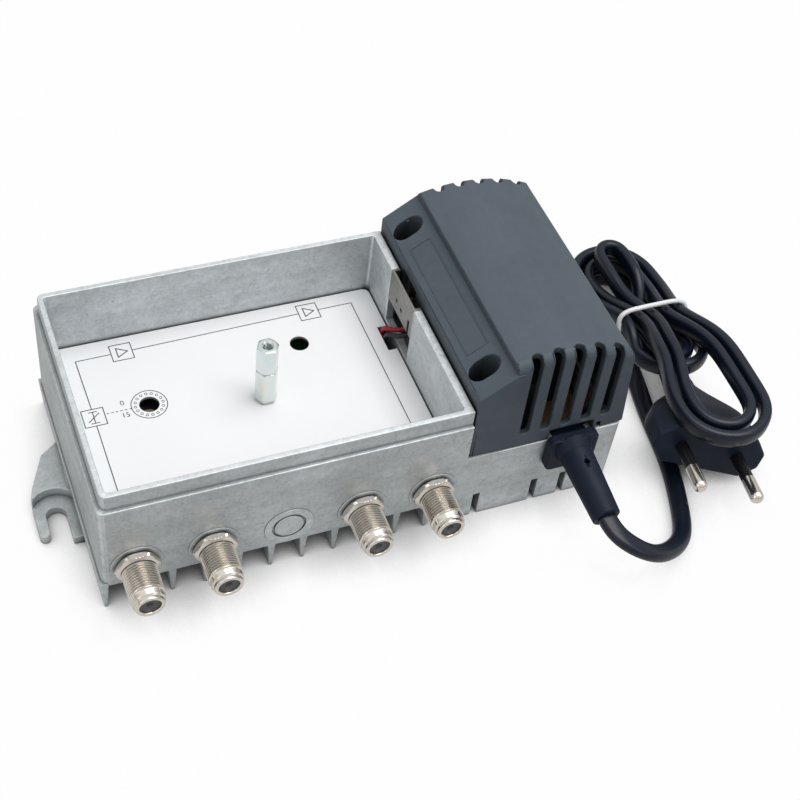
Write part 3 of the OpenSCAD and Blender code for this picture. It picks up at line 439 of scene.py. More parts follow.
def mottle_mask(tree, given):
    """Blotches of two sizes, as on metal that has flowed and cooled, or plastic that was handled."""
    broad = noise(tree, given["Vector"], given["Scale"], 4.0, 0.6, 0.6)
    fine = noise(tree, given["Vector"], counted(tree, "MULTIPLY", given["Scale"], 7.0), 3.0)
    both = add_node(tree, "ShaderNodeMix", {0: given["Fine share"], 2: broad, 3: fine})
    return ranged(tree, both.outputs[0], 0.34, 0.66, 0.0, 1.0)


def grain_height(tree, given):
    """Fine moulded or cast texture as a height."""
    fine = noise(tree, given["Vector"], given["Scale"], 2.0)
    coarse = noise(tree, given["Vector"], counted(tree, "MULTIPLY", given["Scale"], 0.31), 2.0)
    return counted(
        tree, "ADD", counted(tree, "MULTIPLY", fine, 0.6), counted(tree, "MULTIPLY", coarse, 0.4))


def streak_mask(tree, given):
    """Long marks along one direction, from noise that is stretched."""
    drawn = add_node(
        tree, "ShaderNodeVectorMath", {0: given["Vector"], 1: given["Stretch"]}, operation="MULTIPLY")
    return ranged(tree, noise(tree, drawn.outputs[0], 1.0, 3.0, 0.6, 0.3), 0.36, 0.64, 0.0, 1.0)


def speck_mask(tree, given):
    """Sparse small dots of dust: near a cell's middle, in the few cells whose own number is high."""
    cells = add_node(tree, "ShaderNodeTexVoronoi", {"Vector": given["Vector"], "Scale": given["Scale"]})
    near = counted(tree, "LESS_THAN", cells.outputs["Distance"], given["Size"])
    parts = add_node(tree, "ShaderNodeSeparateColor", {"Color": cells.outputs["Color"]})
    return counted(tree, "MULTIPLY", near, counted(tree, "GREATER_THAN", parts.outputs[0], 0.86))


def edge_mask(tree, given):
    """Mask of rubbed edges, which the casting also lightens into painted edge highlights: where the surface
    is pointed, broken up by noise.
    """
    shape = tree.nodes.new("ShaderNodeNewGeometry")
    edges = ranged(tree, shape.outputs["Pointiness"], 0.505, 0.56, 0.0, 1.0)
    broken = ranged(tree, noise(tree, given["Vector"], given["Scale"]), 0.35, 0.6, 0.25, 1.0)
    return counted(tree, "MULTIPLY", edges, broken)


def painted_hollow_shade_mask(tree, given):
    """Mask of painted shade in deep places: one where near walls hide most of what lies in front of the
    surface, so that little light falls there.
    """
    hidden = add_node(tree, "ShaderNodeAmbientOcclusion", {"Distance": given["Reach"]}, samples=8)
    return ranged(tree, hidden.outputs["AO"], 0.3, 0.82, 1.0, 0.0)


# Node groups: name, inputs with their defaults, output, and the function that fills them
PLACE = (0.0, 0.0, 0.0)
GROUPS = (
    ("Mottle", {"Vector": PLACE, "Scale": 60.0, "Fine share": 0.4}, "Mask", mottle_mask),
    ("Grain", {"Vector": PLACE, "Scale": 1500.0}, "Height", grain_height),
    ("Streaks", {"Vector": PLACE, "Stretch": (40.0, 400.0, 400.0)}, "Mask", streak_mask),
    ("Specks", {"Vector": PLACE, "Scale": 220.0, "Size": 0.1}, "Mask", speck_mask),
    ("Edge wear and highlight", {"Vector": PLACE, "Scale": 300.0}, "Mask", edge_mask),
    # painted shade: darkens hollows by ambient occlusion
    ("Painted hollow shade", {"Reach": 6.0 * MM}, "Mask", painted_hollow_shade_mask),
)


def make_group(name, inputs, output, fill):
    """A node group with named inputs and one output, filled by a function of its tree and inputs."""
    tree = bpy.data.node_groups.new(name, "ShaderNodeTree")
    for label, value in inputs.items():
        kind = "NodeSocketFloat" if isinstance(value, float) else "NodeSocketVector"
        tree.interface.new_socket(label, in_out="INPUT", socket_type=kind).default_value = value
    tree.interface.new_socket(output, in_out="OUTPUT", socket_type="NodeSocketFloat")
    given = tree.nodes.new("NodeGroupInput").outputs
    end = tree.nodes.new("NodeGroupOutput")
    tree.links.new(fill(tree, given), end.inputs[output])


def placed_group(tree, name, **inputs):
    """The output of a group that is placed in a material."""
    made = tree.nodes.new("ShaderNodeGroup")
    made.node_tree = bpy.data.node_groups[name]
    return feed(tree, made, inputs).outputs[0]


def start_material(name):
    """A new material with its tree, its Principled shader and its Object coordinates."""
    material = bpy.data.materials.new(name)
    material.use_nodes = True
    tree = material.node_tree
    shader = tree.nodes["Principled BSDF"]
    where = tree.nodes.new("ShaderNodeTexCoord").outputs["Object"]
    return material, tree, shader, where


def bumped(tree, height, distance, strength=1.0):
    """Normal of a surface whose height changes by at most a distance."""
    made = add_node(tree, "ShaderNodeBump", {"Height": height, "Distance": distance, "Strength": strength})
    return made.outputs["Normal"]


def shaded(colour, factor):
    """A colour with its alpha, made lighter or darker."""
    return (*(min(1.0, c * factor) for c in colour), 1.0)


def laid(tree, base, mask, share, colour):
    """A colour laid over a base by a share of a mask."""
    return mixed(tree, counted(tree, "MULTIPLY", mask, share), base, colour)


def with_painted_hollow_shade(tree, base, reach, colour):
    """Painted shade: a base that goes over to a darker colour in hollows, within a reach, where less light
    falls.
    """
    return mixed(tree, placed_group(tree, "Painted hollow shade", Reach=reach), base, colour)


def cast_material(name, colour):
    """Raw die casting: grey metal with clouded patches, faint flow lines, a fine skin, rubbed edges that also
    serve as painted edge highlights, and painted shade in its corners and hollows.
    """
    material, tree, shader, where = start_material(name)
    clouds = placed_group(tree, "Mottle", Vector=where, Scale=70.0, Fine_share=0.5)
    flow = placed_group(tree, "Streaks", Vector=where, Stretch=(28.0, 60.0, 190.0))
    edges = placed_group(tree, "Edge wear and highlight", Vector=where, Scale=420.0)
    pits = placed_group(tree, "Specks", Vector=where, Scale=420.0, Size=0.18)
    skin = placed_group(tree, "Grain", Vector=where, Scale=1500.0)
    speckle = ranged(tree, noise(tree, where, 1200.0, 2.0), 0.36, 0.64, 0.0, 1.0)
    base = mixed(tree, clouds, shaded(colour, 0.82), shaded(colour, 1.12))
    # edges: rubbed edges, lightened enough to stand in as painted edge highlights too
    layers = ((flow, 0.4, 0.72), (speckle, 0.3, 1.35), (pits, 0.5, 0.6), (edges, 0.6, 1.55))
    for mask, share, tone in layers:
        base = laid(tree, base, mask, share, shaded(colour, tone))
    # painted shade: darker in the casting's inside corners and hollows, where less light falls
    base = with_painted_hollow_shade(tree, base, 2.5 * MM, shaded(colour, 0.3))
    rough = counted(
        tree, "ADD", ranged(tree, clouds, 0.0, 1.0, 0.6, 0.5), ranged(tree, flow, 0.0, 1.0, -0.05, 0.06))
    feed(tree, shader, {
        "Base Color": base, "Roughness": rough, "Metallic": 0.8,
        "Normal": bumped(tree, skin, 0.05 * MM, 0.75)})
    return material


def plated_material(name, colour, rough, reach=1.0 * MM, painted_shade_tone=0.5, tint=None):
    """Bright plated metal: soft smudges, painted shade in its hollows and, on zinc, a second colour that
    drifts over it.
    """
    material, tree, shader, where = start_material(name)
    smudge = placed_group(tree, "Mottle", Vector=where, Scale=260.0, Fine_share=0.35)
    base = mixed(tree, smudge, shaded(colour, 0.93), shaded(colour, 1.05))
    if tint is not None:
        drift = placed_group(tree, "Mottle", Vector=where, Scale=150.0, Fine_share=0.1)
        base = mixed(tree, drift, base, (*tint, 1.0))
    # painted shade: hollows within the reach go darker, as if little light falls in them
    base = with_painted_hollow_shade(tree, base, reach, shaded(colour, painted_shade_tone))
    gloss = ranged(tree, smudge, 0.0, 1.0, rough * 1.25, rough * 0.8)
    feed(tree, shader, {"Base Color": base, "Roughness": gloss, "Metallic": 1.0})
    return material


def moulded_material(
        name, colour, rough, grain=2600.0, relief=0.012, dust=0.0, wear=0.25, uneven=0.1, shine=0.4,
        painted_shade_reach=0.0):
    """Moulded plastic or rubber: a fine grain, uneven gloss, paler edges, a few specks of dust and, when a
    reach is given, painted shade in hollows.
    """
    material, tree, shader, where = start_material(name)
    touch = placed_group(tree, "Mottle", Vector=where, Scale=70.0, Fine_share=0.3)
    skin = placed_group(tree, "Grain", Vector=where, Scale=grain)
    edges = placed_group(tree, "Edge wear and highlight", Vector=where, Scale=500.0)
    base = mixed(tree, touch, shaded(colour, 1 - uneven), shaded(colour, 1 + uneven))
    base = laid(tree, base, edges, wear, shaded(colour, 1.9))
    # painted shade: hollows within the reach go darker, as if little light falls in them
    if painted_shade_reach:
        base = with_painted_hollow_shade(tree, base, painted_shade_reach, shaded(colour, 0.15))
    if dust:
        specks = placed_group(tree, "Specks", Vector=where, Scale=150.0, Size=0.05)
        base = laid(tree, base, specks, dust, (0.45, 0.45, 0.43, 1.0))
    gloss = ranged(tree, touch, 0.0, 1.0, rough * 1.1, rough * 0.9)
    feed(tree, shader, {
        "Base Color": base, "Roughness": gloss, "Normal": bumped(tree, skin, relief * MM, 0.8),
        "Specular IOR Level": shine})
    return material


def plate_material(name, colour):
    """White lacquer on sheet: even on top, and greyer where a hole or the edge shows its thickness."""
    material, tree, shader, where = start_material(name)
    touch = placed_group(tree, "Mottle", Vector=where, Scale=40.0, Fine_share=0.2)
    height = add_node(tree, "ShaderNodeSeparateXYZ", {0: where}).outputs["Z"]
    side = ranged(tree, height, PLATE_TOP - 0.16 * MM, PLATE_TOP - 0.06 * MM, 1.0, 0.0)
    base = mixed(tree, touch, shaded(colour, 0.99), shaded(colour, 1.01))
    base = mixed(tree, side, base, shaded(colour, 0.32))
    gloss = ranged(tree, touch, 0.0, 1.0, 0.45, 0.36)
    feed(tree, shader, {"Base Color": base, "Roughness": gloss, "Specular IOR Level": 0.35})
    return material


# Finishes that need only a colour and a roughness
METALS = {
    "steel": ((0.62, 0.62, 0.6), 0.3), "tin": ((0.3, 0.295, 0.275), 0.42), "brass": ((0.7, 0.56, 0.3), 0.28)}
PLASTICS = {
    "insulator": ((0.09, 0.09, 0.095), 0.36), "black": ((0.02, 0.02, 0.022), 0.42),
    "rotor": ((0.3, 0.23, 0.16), 0.4), "lens": ((0.05, 0.009, 0.007), 0.2),
    "red wire": ((0.3, 0.012, 0.03), 0.34), "black wire": ((0.015, 0.015, 0.017), 0.36),
    "green board": ((0.03, 0.14, 0.06), 0.4), "tan board": ((0.36, 0.24, 0.1), 0.5),
    "tape": ((0.3, 0.14, 0.03), 0.3), "film": ((0.5, 0.38, 0.08), 0.35)}
RUBBER = {"relief": 0.01, "dust": 0.3, "wear": 0.2}


@cache
def finish(name):
    """A material by name, made from the settings when it is first asked for."""
    if name in METALS:
        return plated_material(name, *METALS[name])
    if name in PLASTICS:
        return moulded_material(name, *PLASTICS[name])
    metal = bpy.context.scene.amplifier_metal
    plastic = bpy.context.scene.amplifier_plastic
    cord = plastic.cord_colour
    makers = {
        "casting": lambda: cast_material(name, metal.cast_colour),
        # nickel and zinc: colour, roughness, then the reach and darkness of the painted shade in hollows
        "nickel": lambda: plated_material(name, metal.nickel_colour, 0.21, 0.35 * MM, 0.55),
        "zinc": lambda: plated_material(name, metal.zinc_colour, 0.22, 2.5 * MM, 0.22, (0.76, 0.78, 0.72)),
        # the hood's wells, slots and inside get painted shade within 7 mm
        "hood": lambda: moulded_material(
            name, plastic.hood_colour, 0.48, 3200.0, dust=0.7, wear=0.12, uneven=0.06, shine=0.22,
            painted_shade_reach=7 * MM),
        "cord": lambda: moulded_material(
            name, shaded(cord, 0.8)[:3], 0.3, 2400.0, 0.003, dust=0.25, wear=0.0, shine=0.34),
        "plug": lambda: moulded_material(name, shaded(cord, 1.15)[:3], 0.5, shine=0.2, **RUBBER),
        "bushing": lambda: moulded_material(name, shaded(cord, 1.1)[:3], 0.5, shine=0.18, **RUBBER),
        "sleeve": lambda: moulded_material(name, (0.008, 0.008, 0.009), 0.36, shine=0.25),
        "tie": lambda: moulded_material(name, plastic.tie_colour, 0.4, 1800.0, 0.01, wear=0.0),
        "plate": lambda: plate_material(name, plastic.plate_colour),
        "ink": lambda: moulded_material(name, plastic.ink_colour, 0.5, 3000.0, 0.002, wear=0.0),
    }
    return makers[name]()


# The stage


def camera_axes(heading, dip, roll):
    """Right, up and backward directions of a camera that looks along a heading, down by a dip."""
    ahead = np.array([
        math.sin(heading) * math.cos(dip), math.cos(heading) * math.cos(dip), -math.sin(dip)])
    level = unit(np.cross(ahead, UP))
    rise = np.cross(level, ahead)
    right = level * math.cos(roll) + rise * math.sin(roll)
    return right, np.cross(right, ahead), -ahead


def make_camera(stage):
    """The camera at the photograph's place and angle."""
    lens = bpy.data.cameras.new("Camera")
    lens.lens = stage.lens
    lens.sensor_width = 36.0
    lens.clip_start = 0.01
    camera = put_in_scene("Camera", lens)
    axes = camera_axes(stage.camera_heading, stage.camera_dip, stage.camera_roll)
    turn = Matrix(np.stack(axes, axis=1).tolist()).to_4x4()
    camera.matrix_world = Matrix.Translation(stage.camera_place) @ turn
    bpy.context.scene.camera = camera


def seen_directly(tree, mirrored_share):
    """One where the surface is seen by the camera, a share in a reflection, and zero for other light."""
    path = tree.nodes.new("ShaderNodeLightPath")
    mirrored = counted(tree, "MAXIMUM", path.outputs["Is Glossy Ray"], path.outputs["Is Transmission Ray"])
    mirrored = counted(tree, "MULTIPLY", mirrored, mirrored_share)
    return counted(tree, "MAXIMUM", path.outputs["Is Camera Ray"], mirrored)


def make_floor(stage):
    """A wide pale floor that shows nearly white and keeps the shadow."""
    side = 4.0
    mesh = bpy.data.meshes.new("Floor")
    corners = [(-side, -side, 0), (side, -side, 0), (side, side, 0), (-side, side, 0)]
    mesh.from_pydata(corners, [], [(0, 1, 2, 3)])
    floor = put_in_scene("Floor", mesh)
    material = bpy.data.materials.new("Floor")
    material.use_nodes = True
    tree = material.node_tree
    shader = tree.nodes["Principled BSDF"]
    feed(tree, shader, {
        "Base Color": (*stage.floor_colour, 1.0), "Roughness": 0.9, "Specular IOR Level": 0.1})
    glow = add_node(tree, "ShaderNodeEmission", {"Color": (1.0, 1.0, 1.0, 1.0), "Strength": 1.0})
    hidden = add_node(tree, "ShaderNodeAmbientOcclusion", {"Distance": 0.02}, samples=8)
    open_share = ranged(tree, hidden.outputs["AO"], 0.15, 0.75, 0.0, 0.98)
    share = counted(tree, "MULTIPLY", seen_directly(tree, 0.5), open_share)
    blend = add_node(tree, "ShaderNodeMixShader", {0: share, 1: shader.outputs[0], 2: glow.outputs[0]})
    tree.links.new(blend.outputs[0], tree.nodes["Material Output"].inputs["Surface"])
    mesh.materials.append(material)


def make_lamp(name, place, aim, size, power):
    """A square soft lamp that faces a point."""
    light = bpy.data.lights.new(name, "AREA")
    light.size = size
    light.energy = power
    lamp = put_in_scene(name, light)
    lamp.location = place
    lamp.rotation_euler = (Vector(aim) - Vector(place)).to_track_quat("-Z", "Y").to_euler()


def make_light(stage):
    """Even white light all round that metal sees as a pale room, one large lamp above and two side lamps."""
    scene = bpy.context.scene
    scene.world = bpy.data.worlds.new("Sky")
    scene.world.use_nodes = True
    tree = scene.world.node_tree
    where = tree.nodes.new("ShaderNodeTexCoord").outputs["Generated"]
    height = add_node(tree, "ShaderNodeSeparateXYZ", {0: where}).outputs["Z"]
    light = ranged(tree, height, 0.0, 0.8, 0.35 * stage.sky_strength, 1.4 * stage.sky_strength)
    backdrop = ranged(tree, height, 0.0, 0.8, 0.4, 0.85)
    strength = add_node(tree, "ShaderNodeMix", {0: seen_directly(tree, 1.0), 2: light, 3: backdrop})
    feed(tree, tree.nodes["Background"], {"Color": (1.0, 1.0, 1.0, 1.0), "Strength": strength.outputs[0]})
    middle = (0.02, 0.0, 0.02)
    make_lamp("Key", (0.3, -0.05, 1.1), middle, 0.8, stage.key_power)
    make_lamp("Left fill", (-0.9, -0.5, 0.5), middle, 0.6, stage.fill_power)
    make_lamp("Right fill", (0.8, -0.7, 0.7), middle, 0.6, stage.fill_power)


class MakeStage(bpy.types.Operator):
    """Camera, floor and light"""

    bl_idname = "amplifier.stage"
    bl_label = "Stage"

    def execute(self, context):
        stage = context.scene.amplifier_stage
        context.scene.view_settings.view_transform = "Standard"
        make_camera(stage)
        make_floor(stage)
        make_light(stage)
        return {"FINISHED"}


# The cord, measured in millimetres from the right end wall

HANK_PITCH = CORD_T + 0.95
HANK_LAYER = CORD_W + 1.1
MIDDLE_LANE = 4.2
INNER_LANE = MIDDLE_LANE + HANK_PITCH
OUTER_LANE = INNER_LANE + HANK_PITCH
WAIST_DEPTH = 4.1
WAIST_LENGTH = 13.0
TIE_Y = 40.0
HANK_X = 31.4
HANK_SLANT = 0.045
REAR_Y = 67.0
TOP_FOLD_Y = 72.0
FRONT_Y = (29.5, -2.0)
LEAD_IN = 12.0
LEAD_OUT = 6.0
FLOOR_REST = CORD_W / 2 + 0.05
HUMP_LOW = 3.0
HUMP_HIGH = 19.7
HUMP_Y = (14.0, 72.0)
RUN_POINTS = 32
FOLD_POINTS = 22
IN_POINTS = 8
OUT_POINTS = 4
HANK_ROLL = 90.0

# Depths between which a strand changes its layer or its lane
OFF_FLOOR = (59.0, 67.0)
LAYER_UP = (29.5, 43.0)
LAYER_TOP = (46.0, 68.0)
LANE_OUT = (36.0, 52.0)
LANE_IN = (2.0, 22.0)


def ease(t):
    """Soft step from 0 to 1."""
    t = np.clip(t, 0.0, 1.0)
    return t * t * (3 - 2 * t)


def hank_middle(y):
    """Middle line of the hank."""
    return HANK_X + HANK_SLANT * y


def lane_half(lane, y):
    """Half the width of a loop, drawn in at the tie."""
    return lane - WAIST_DEPTH * np.exp(-(((y - TIE_Y) / WAIST_LENGTH) ** 2))


def rest_height(y):
    """Height of the lower layer, which climbs over the plug towards the front."""
    return HUMP_HIGH + (HUMP_LOW - HUMP_HIGH) * ease((y - HUMP_Y[0]) / (HUMP_Y[1] - HUMP_Y[0]))


def layer_height(layer, y):
    """Height of a layer: below zero is on the floor."""
    return np.full_like(y, FLOOR_REST) if layer < 0 else rest_height(y) + HANK_LAYER * layer


def steady(value):
    """A lane or layer that doesn't change."""
    return (value, value, 0.0, 1.0)


def strand(side, y0, y1, count, lanes, layers):
    """A run along one side, whose lane and layer change softly between two depths."""
    y = np.linspace(y0, y1, count + 1)
    lane = lanes[0] + (lanes[1] - lanes[0]) * ease((y - lanes[2]) / (lanes[3] - lanes[2]))
    low, high = layer_height(layers[0], y), layer_height(layers[1], y)
    z = low + (high - low) * ease((y - layers[2]) / (layers[3] - layers[2]))
    return np.stack([hank_middle(y) + side * lane_half(lane, y), y, z], axis=1)


def fold(way, y0, lane, layer):
    """A half turn at the rear (way 1) or at the front (way -1), without its end points."""
    a = np.pi * np.arange(1, FOLD_POINTS) / FOLD_POINTS
    half = lane_half(lane, y0)
    y = y0 + way * half * np.sin(a)
    return np.stack([hank_middle(y0) - way * half * np.cos(a), y, layer_height(layer, y)], axis=1)


def loop_side(lane, layer):
    """The right side of a loop, with the half turn at each of its ends."""
    return [
        fold(1, REAR_Y, lane, layer),
        strand(1, REAR_Y, FRONT_Y[layer], RUN_POINTS, steady(lane), steady(layer)),
        fold(-1, FRONT_Y[layer], lane, layer),
    ]


def hank_route():
    """Four loops in two layers: out along the lower one, in along the upper one, and a fold on top."""
    lower, upper = FRONT_Y
    return np.concatenate([
        strand(-1, REAR_Y - LEAD_IN, REAR_Y, IN_POINTS, steady(INNER_LANE), (-1, 0, *OFF_FLOOR)),
        *loop_side(INNER_LANE, 0),
        strand(-1, lower, REAR_Y, RUN_POINTS, (INNER_LANE, OUTER_LANE, *LANE_OUT), steady(0)),
        *loop_side(OUTER_LANE, 0),
        strand(-1, lower, REAR_Y, RUN_POINTS, steady(OUTER_LANE), (0, 1, *LAYER_UP)),
        *loop_side(OUTER_LANE, 1),
        strand(-1, upper, REAR_Y, RUN_POINTS, (OUTER_LANE, INNER_LANE, *LANE_IN), steady(1)),
        *loop_side(INNER_LANE, 1),
        strand(-1, upper, TOP_FOLD_Y, RUN_POINTS, (INNER_LANE, MIDDLE_LANE, *LANE_IN), (1, 2, *LAYER_TOP)),
        fold(1, TOP_FOLD_Y, MIDDLE_LANE, 2),
        strand(1, TOP_FOLD_Y, TOP_FOLD_Y - LEAD_OUT, OUT_POINTS, steady(MIDDLE_LANE), steady(2)),
    ])


# Boot, plug and the cord's points on both sides of the hank, in millimetres from the right end wall, and the
# cord's rolls in degrees, with those of the two points that are worked out at each end of a stretch
BOOT_ROOT = np.array([-16.2, -1.5, 24.0])
BOOT_LENGTH = 23.8
BOOT_TURN = (math.radians(99.5), 0.0, math.radians(1.2))
PLUG_AT = np.array([27.75, -8.25, 13.3])
PLUG_TURN = (math.radians(-12), math.radians(16), math.radians(-17))
PLUG_END = 39.0
LEAD_POINTS = [
    (-10, -35.5, 17), (-2.5, -35.8, 11.5), (7.8, -30.5, 5.4), (13.4, -24.5, 2.2), (17.2, -14.5, 1.75),
    (20.6, -3.5, 1.75), (22.4, 8, 1.75), (24, 20, 1.75), (26, 29, 2.1), (27.2, 37, 2.6), (27.4, 45, 2.85)]
LEAD_ROLLS = [0, 0, 0, 0, 0, 0, 0, 0, 0, 0, 20, 50, 80, 90, 90]
TAIL_POINTS = [(37.5, 56.5, 14.2), (35.9, 51.2, 9.6), (34.6, 46.2, 5.4), (35.6, 40.5, 3.8)]
TAIL_ROLLS = [90, 90, 90, 80, 60, 35, 20, 17]
JOINT_RUN = 4.0
CURVE_STEPS = 8
LEAD_PASSES = 30
TAIL_PASSES = 12
EVEN_PASSES = 6
CORD_SQUARENESS = 2.9


def euler_matrix(turn):
    """Rotation about X, then Y, then Z."""
    turns = [Matrix.Rotation(angle, 3, axis) for angle, axis in zip(turn, "XYZ")]
    return np.array(turns[2] @ turns[1] @ turns[0])


def rounded_route(points, steps):
    """Curve through points: between two of them, a cubic whose slopes come from the next ones."""
    padded = np.concatenate([[2 * points[0] - points[1]], points, [2 * points[-1] - points[-2]]])
    t = np.linspace(0.0, 1.0, steps, endpoint=False)[None, :, None]
    a, b, c, d = (padded[k:len(padded) - 3 + k, None] for k in range(4))
    curve = 0.5 * (2 * b + (c - a) * t + (2 * a - 5 * b + 4 * c - d) * t**2 + (3 * b - a - 3 * c + d) * t**3)
    return np.concatenate([curve.reshape(-1, points.shape[1]), points[-1:]])


def smoothed(path, passes):
    """Each inner point moved towards the middle of its neighbours, several times."""
    for _ in range(passes):
        path = np.concatenate([path[:1], (path[:-2] + 2 * path[1:-1] + path[2:]) / 4, path[-1:]])
    return path


def cord_route(step):
    """The cord's line and roll, in even steps from the boot to the plug; the last column is the roll."""
    boot = euler_matrix(BOOT_TURN) @ UP
    tip = BOOT_ROOT + boot * BOOT_LENGTH
    hank = hank_route()
    into, out_of = unit(hank[1] - hank[0]), unit(hank[-1] - hank[-2])
    plug_way = euler_matrix(PLUG_TURN) @ np.array([0.0, 1.0, 0.0])
    plug_end = PLUG_AT + plug_way * PLUG_END
    lead = np.array([tip, tip + boot * CORD_W, *LEAD_POINTS, hank[0] - into * JOINT_RUN, hank[0]])
    tail = np.array([
        hank[-1], hank[-1] + out_of * JOINT_RUN, *TAIL_POINTS, plug_end + plug_way * CORD_W, plug_end])
    lead = smoothed(rounded_route(np.column_stack([lead, LEAD_ROLLS]), CURVE_STEPS), LEAD_PASSES)
    tail = smoothed(rounded_route(np.column_stack([tail, TAIL_ROLLS]), CURVE_STEPS), TAIL_PASSES)
    hank = np.column_stack([hank, np.full(len(hank), HANK_ROLL)])
    route = np.concatenate([lead[:-1], hank, tail[1:]])
    along = np.concatenate([[0.0], np.cumsum(np.linalg.norm(np.diff(route[:, :3], axis=0), axis=1))])
    even = np.linspace(0.0, along[-1], int(along[-1] / step) + 1)
    route = np.stack([np.interp(even, along, column) for column in route.T], axis=1)
    return smoothed(route, EVEN_PASSES)


def cross_directions(path, roll):
    """Wide and thin directions of a flat cord: level when the roll is 0, wide side upright when it is 90."""
    ahead = unit(np.gradient(path, axis=0))
    side = unit(np.stack([ahead[:, 1], -ahead[:, 0], 0 * roll], axis=1))
    rise = np.cross(side, ahead)
    c, s = np.cos(roll)[:, None], np.sin(roll)[:, None]
    return side * c + rise * s, rise * c - side * s


def make_cord(cord):
    """The whole flat cord as one tube from the boot to the plug."""
    route = cord_route(cord.ring_step / MM)
    path = beside(route[:, :3])
    wide, thin = cross_directions(path, np.radians(route[:, 3]))
    section = ring_section(cord.sides, cord.width, cord.thickness, CORD_SQUARENESS)
    points = swept(path, wide, thin, section)
    piece = new_piece("mains_cord", closed_tube(points), finish("cord"),
                      stands_for=["mains_lead", "mains_hank", "plug_lead"])


TIE_ROOM = 0.45
TIE_RADIUS = 0.75
TIE_SQUARENESS = 5.0


def make_tie():
    """Round white tie: a ring of circles along a squarish oval, square to the strands at the waist."""
    slope = (rest_height(TIE_Y + 1) - rest_height(TIE_Y - 1)) / 2
    tilt = math.atan(slope)
    half_x = lane_half(OUTER_LANE, TIE_Y) + CORD_T / 2 + TIE_ROOM + TIE_RADIUS
    half_z = HANK_LAYER / 2 * math.cos(tilt) + CORD_W / 2 + TIE_ROOM + TIE_RADIUS
    oval = ring_section(96, 2 * half_x, 2 * half_z, TIE_SQUARENESS)
    ring = np.stack([oval[:, 0], 0 * oval[:, 0], oval[:, 1]], axis=1)
    ahead = unit(np.roll(ring, -1, axis=0) - np.roll(ring, 1, axis=0))
    along = np.tile([0.0, 1.0, 0.0], (len(ring), 1))
    points = swept(ring, np.cross(ahead, along), along, ring_section(12, 2 * TIE_RADIUS, 2 * TIE_RADIUS, 2.0))
    middle = np.array([hank_middle(TIE_Y), TIE_Y, rest_height(TIE_Y) + HANK_LAYER / 2])
    points = beside(points @ euler_matrix((tilt, 0.0, 0.0)).T + middle)
    new_piece("hank_tie", closed_tube(points, wrap_rows=True), finish("tie"),
              stands_for=["cable_tie"])


# The plug, in its own frame: X across the face, Y from the face to the cord, in millimetres


def plug_place(points):
    """Points of the plug's own frame, in metres in the part's frame."""
    return beside(points @ euler_matrix(PLUG_TURN).T + PLUG_AT)


def rounded_octagon(half_w, half_h, bevel_w, bevel_h, radius, steps):
    """Rows of octagons with round corners: at each corner an arc turns from one side's normal to the next's.
    The arc's middle lies on both sides' inner offsets, which is corner - r (n1 + n2) / (1 + n1 n2)."""
    w, h, a, b = (np.asarray(v, float)[:, None] for v in (half_w, half_h, bevel_w, bevel_h))
    x = np.concatenate([w, w, w - a, a - w, -w, -w, a - w, w - a], axis=1)
    z = np.concatenate([b - h, h - b, h, h, h - b, b - h, -h, -h], axis=1)
    corners = np.stack([x, z], axis=2)
    sides = np.roll(corners, -1, axis=1) - corners
    after = unit(np.stack([sides[..., 1], -sides[..., 0]], axis=2))
    before = np.roll(after, 1, axis=1)
    reach = radius[:, None, None]
    middle = corners - reach * (before + after) / (1 + (before * after).sum(axis=2, keepdims=True))
    start = np.arctan2(before[..., 1], before[..., 0])
    turn = np.mod(np.arctan2(after[..., 1], after[..., 0]) - start, 2 * np.pi)
    angle = start[..., None] + turn[..., None] * np.linspace(0.0, 1.0, steps)
    arc = np.stack([np.cos(angle), np.sin(angle)], axis=3)
    return (middle[:, :, None] + reach[..., None] * arc).reshape(len(x), -1, 2)


PLUG_HALF_W = 17.65
PLUG_HALF_H = 6.85
PLUG_TAPER_END = 27.0
FACE_BEVEL = (4.2, 4.3)
FACE_ROUND = 1.6
FACE_EDGE = 0.9
TAIL_R = (4.8, 3.8)
GROOVES = 4
GROOVE_START = 1.1
GROOVE_PITCH = 2.5
GROOVE_W = 1.25
GROOVE_DEPTH = 0.85
GROOVE_EDGE = 0.25

# Half widths of the plug at places along it, seen from above and from the side
PLUG_PLAN = (
    (0.0, PLUG_HALF_W), (10.0, PLUG_HALF_W), (15.5, PLUG_HALF_W - 2.4), (23.0, 7.3),
    (PLUG_TAPER_END, TAIL_R[0]))
PLUG_SIDE = ((0.0, PLUG_HALF_H), (14.0, PLUG_HALF_H), (PLUG_TAPER_END, TAIL_R[0]))
OUTLINE_START = -8.0
OUTLINE_POINTS = 200
OUTLINE_PASSES = 120
ROUND_FROM = 9.0

# An octagon with a regular bevel and an almost full rounding is a circle
REGULAR = 1 - math.tan(math.pi / 8)
NEARLY_ROUND = 0.995


def tail_radius(y):
    """Radius of the ribbed tail: a slight taper with soft grooves at an even pitch."""
    share = np.clip((y - PLUG_TAPER_END) / (PLUG_END - PLUG_TAPER_END), 0.0, 1.0)
    radius = TAIL_R[0] + (TAIL_R[1] - TAIL_R[0]) * share
    place = y - PLUG_TAPER_END - GROOVE_START
    phase = np.mod(place, GROOVE_PITCH)
    inside = (place > 0) & (place < GROOVES * GROOVE_PITCH)
    groove = ease(phase / GROOVE_EDGE) * ease((GROOVE_W - phase) / GROOVE_EDGE)
    return radius - GROOVE_DEPTH * groove * inside


def plug_outline(y, outline):
    """Half a width of the plug along its length: straight between the outline's points, then smoothed."""
    places, halves = np.transpose(outline)
    even = np.linspace(OUTLINE_START, PLUG_TAPER_END, OUTLINE_POINTS)
    return np.interp(y, even, smoothed(np.interp(even, places, halves)[:, None], OUTLINE_PASSES)[:, 0])


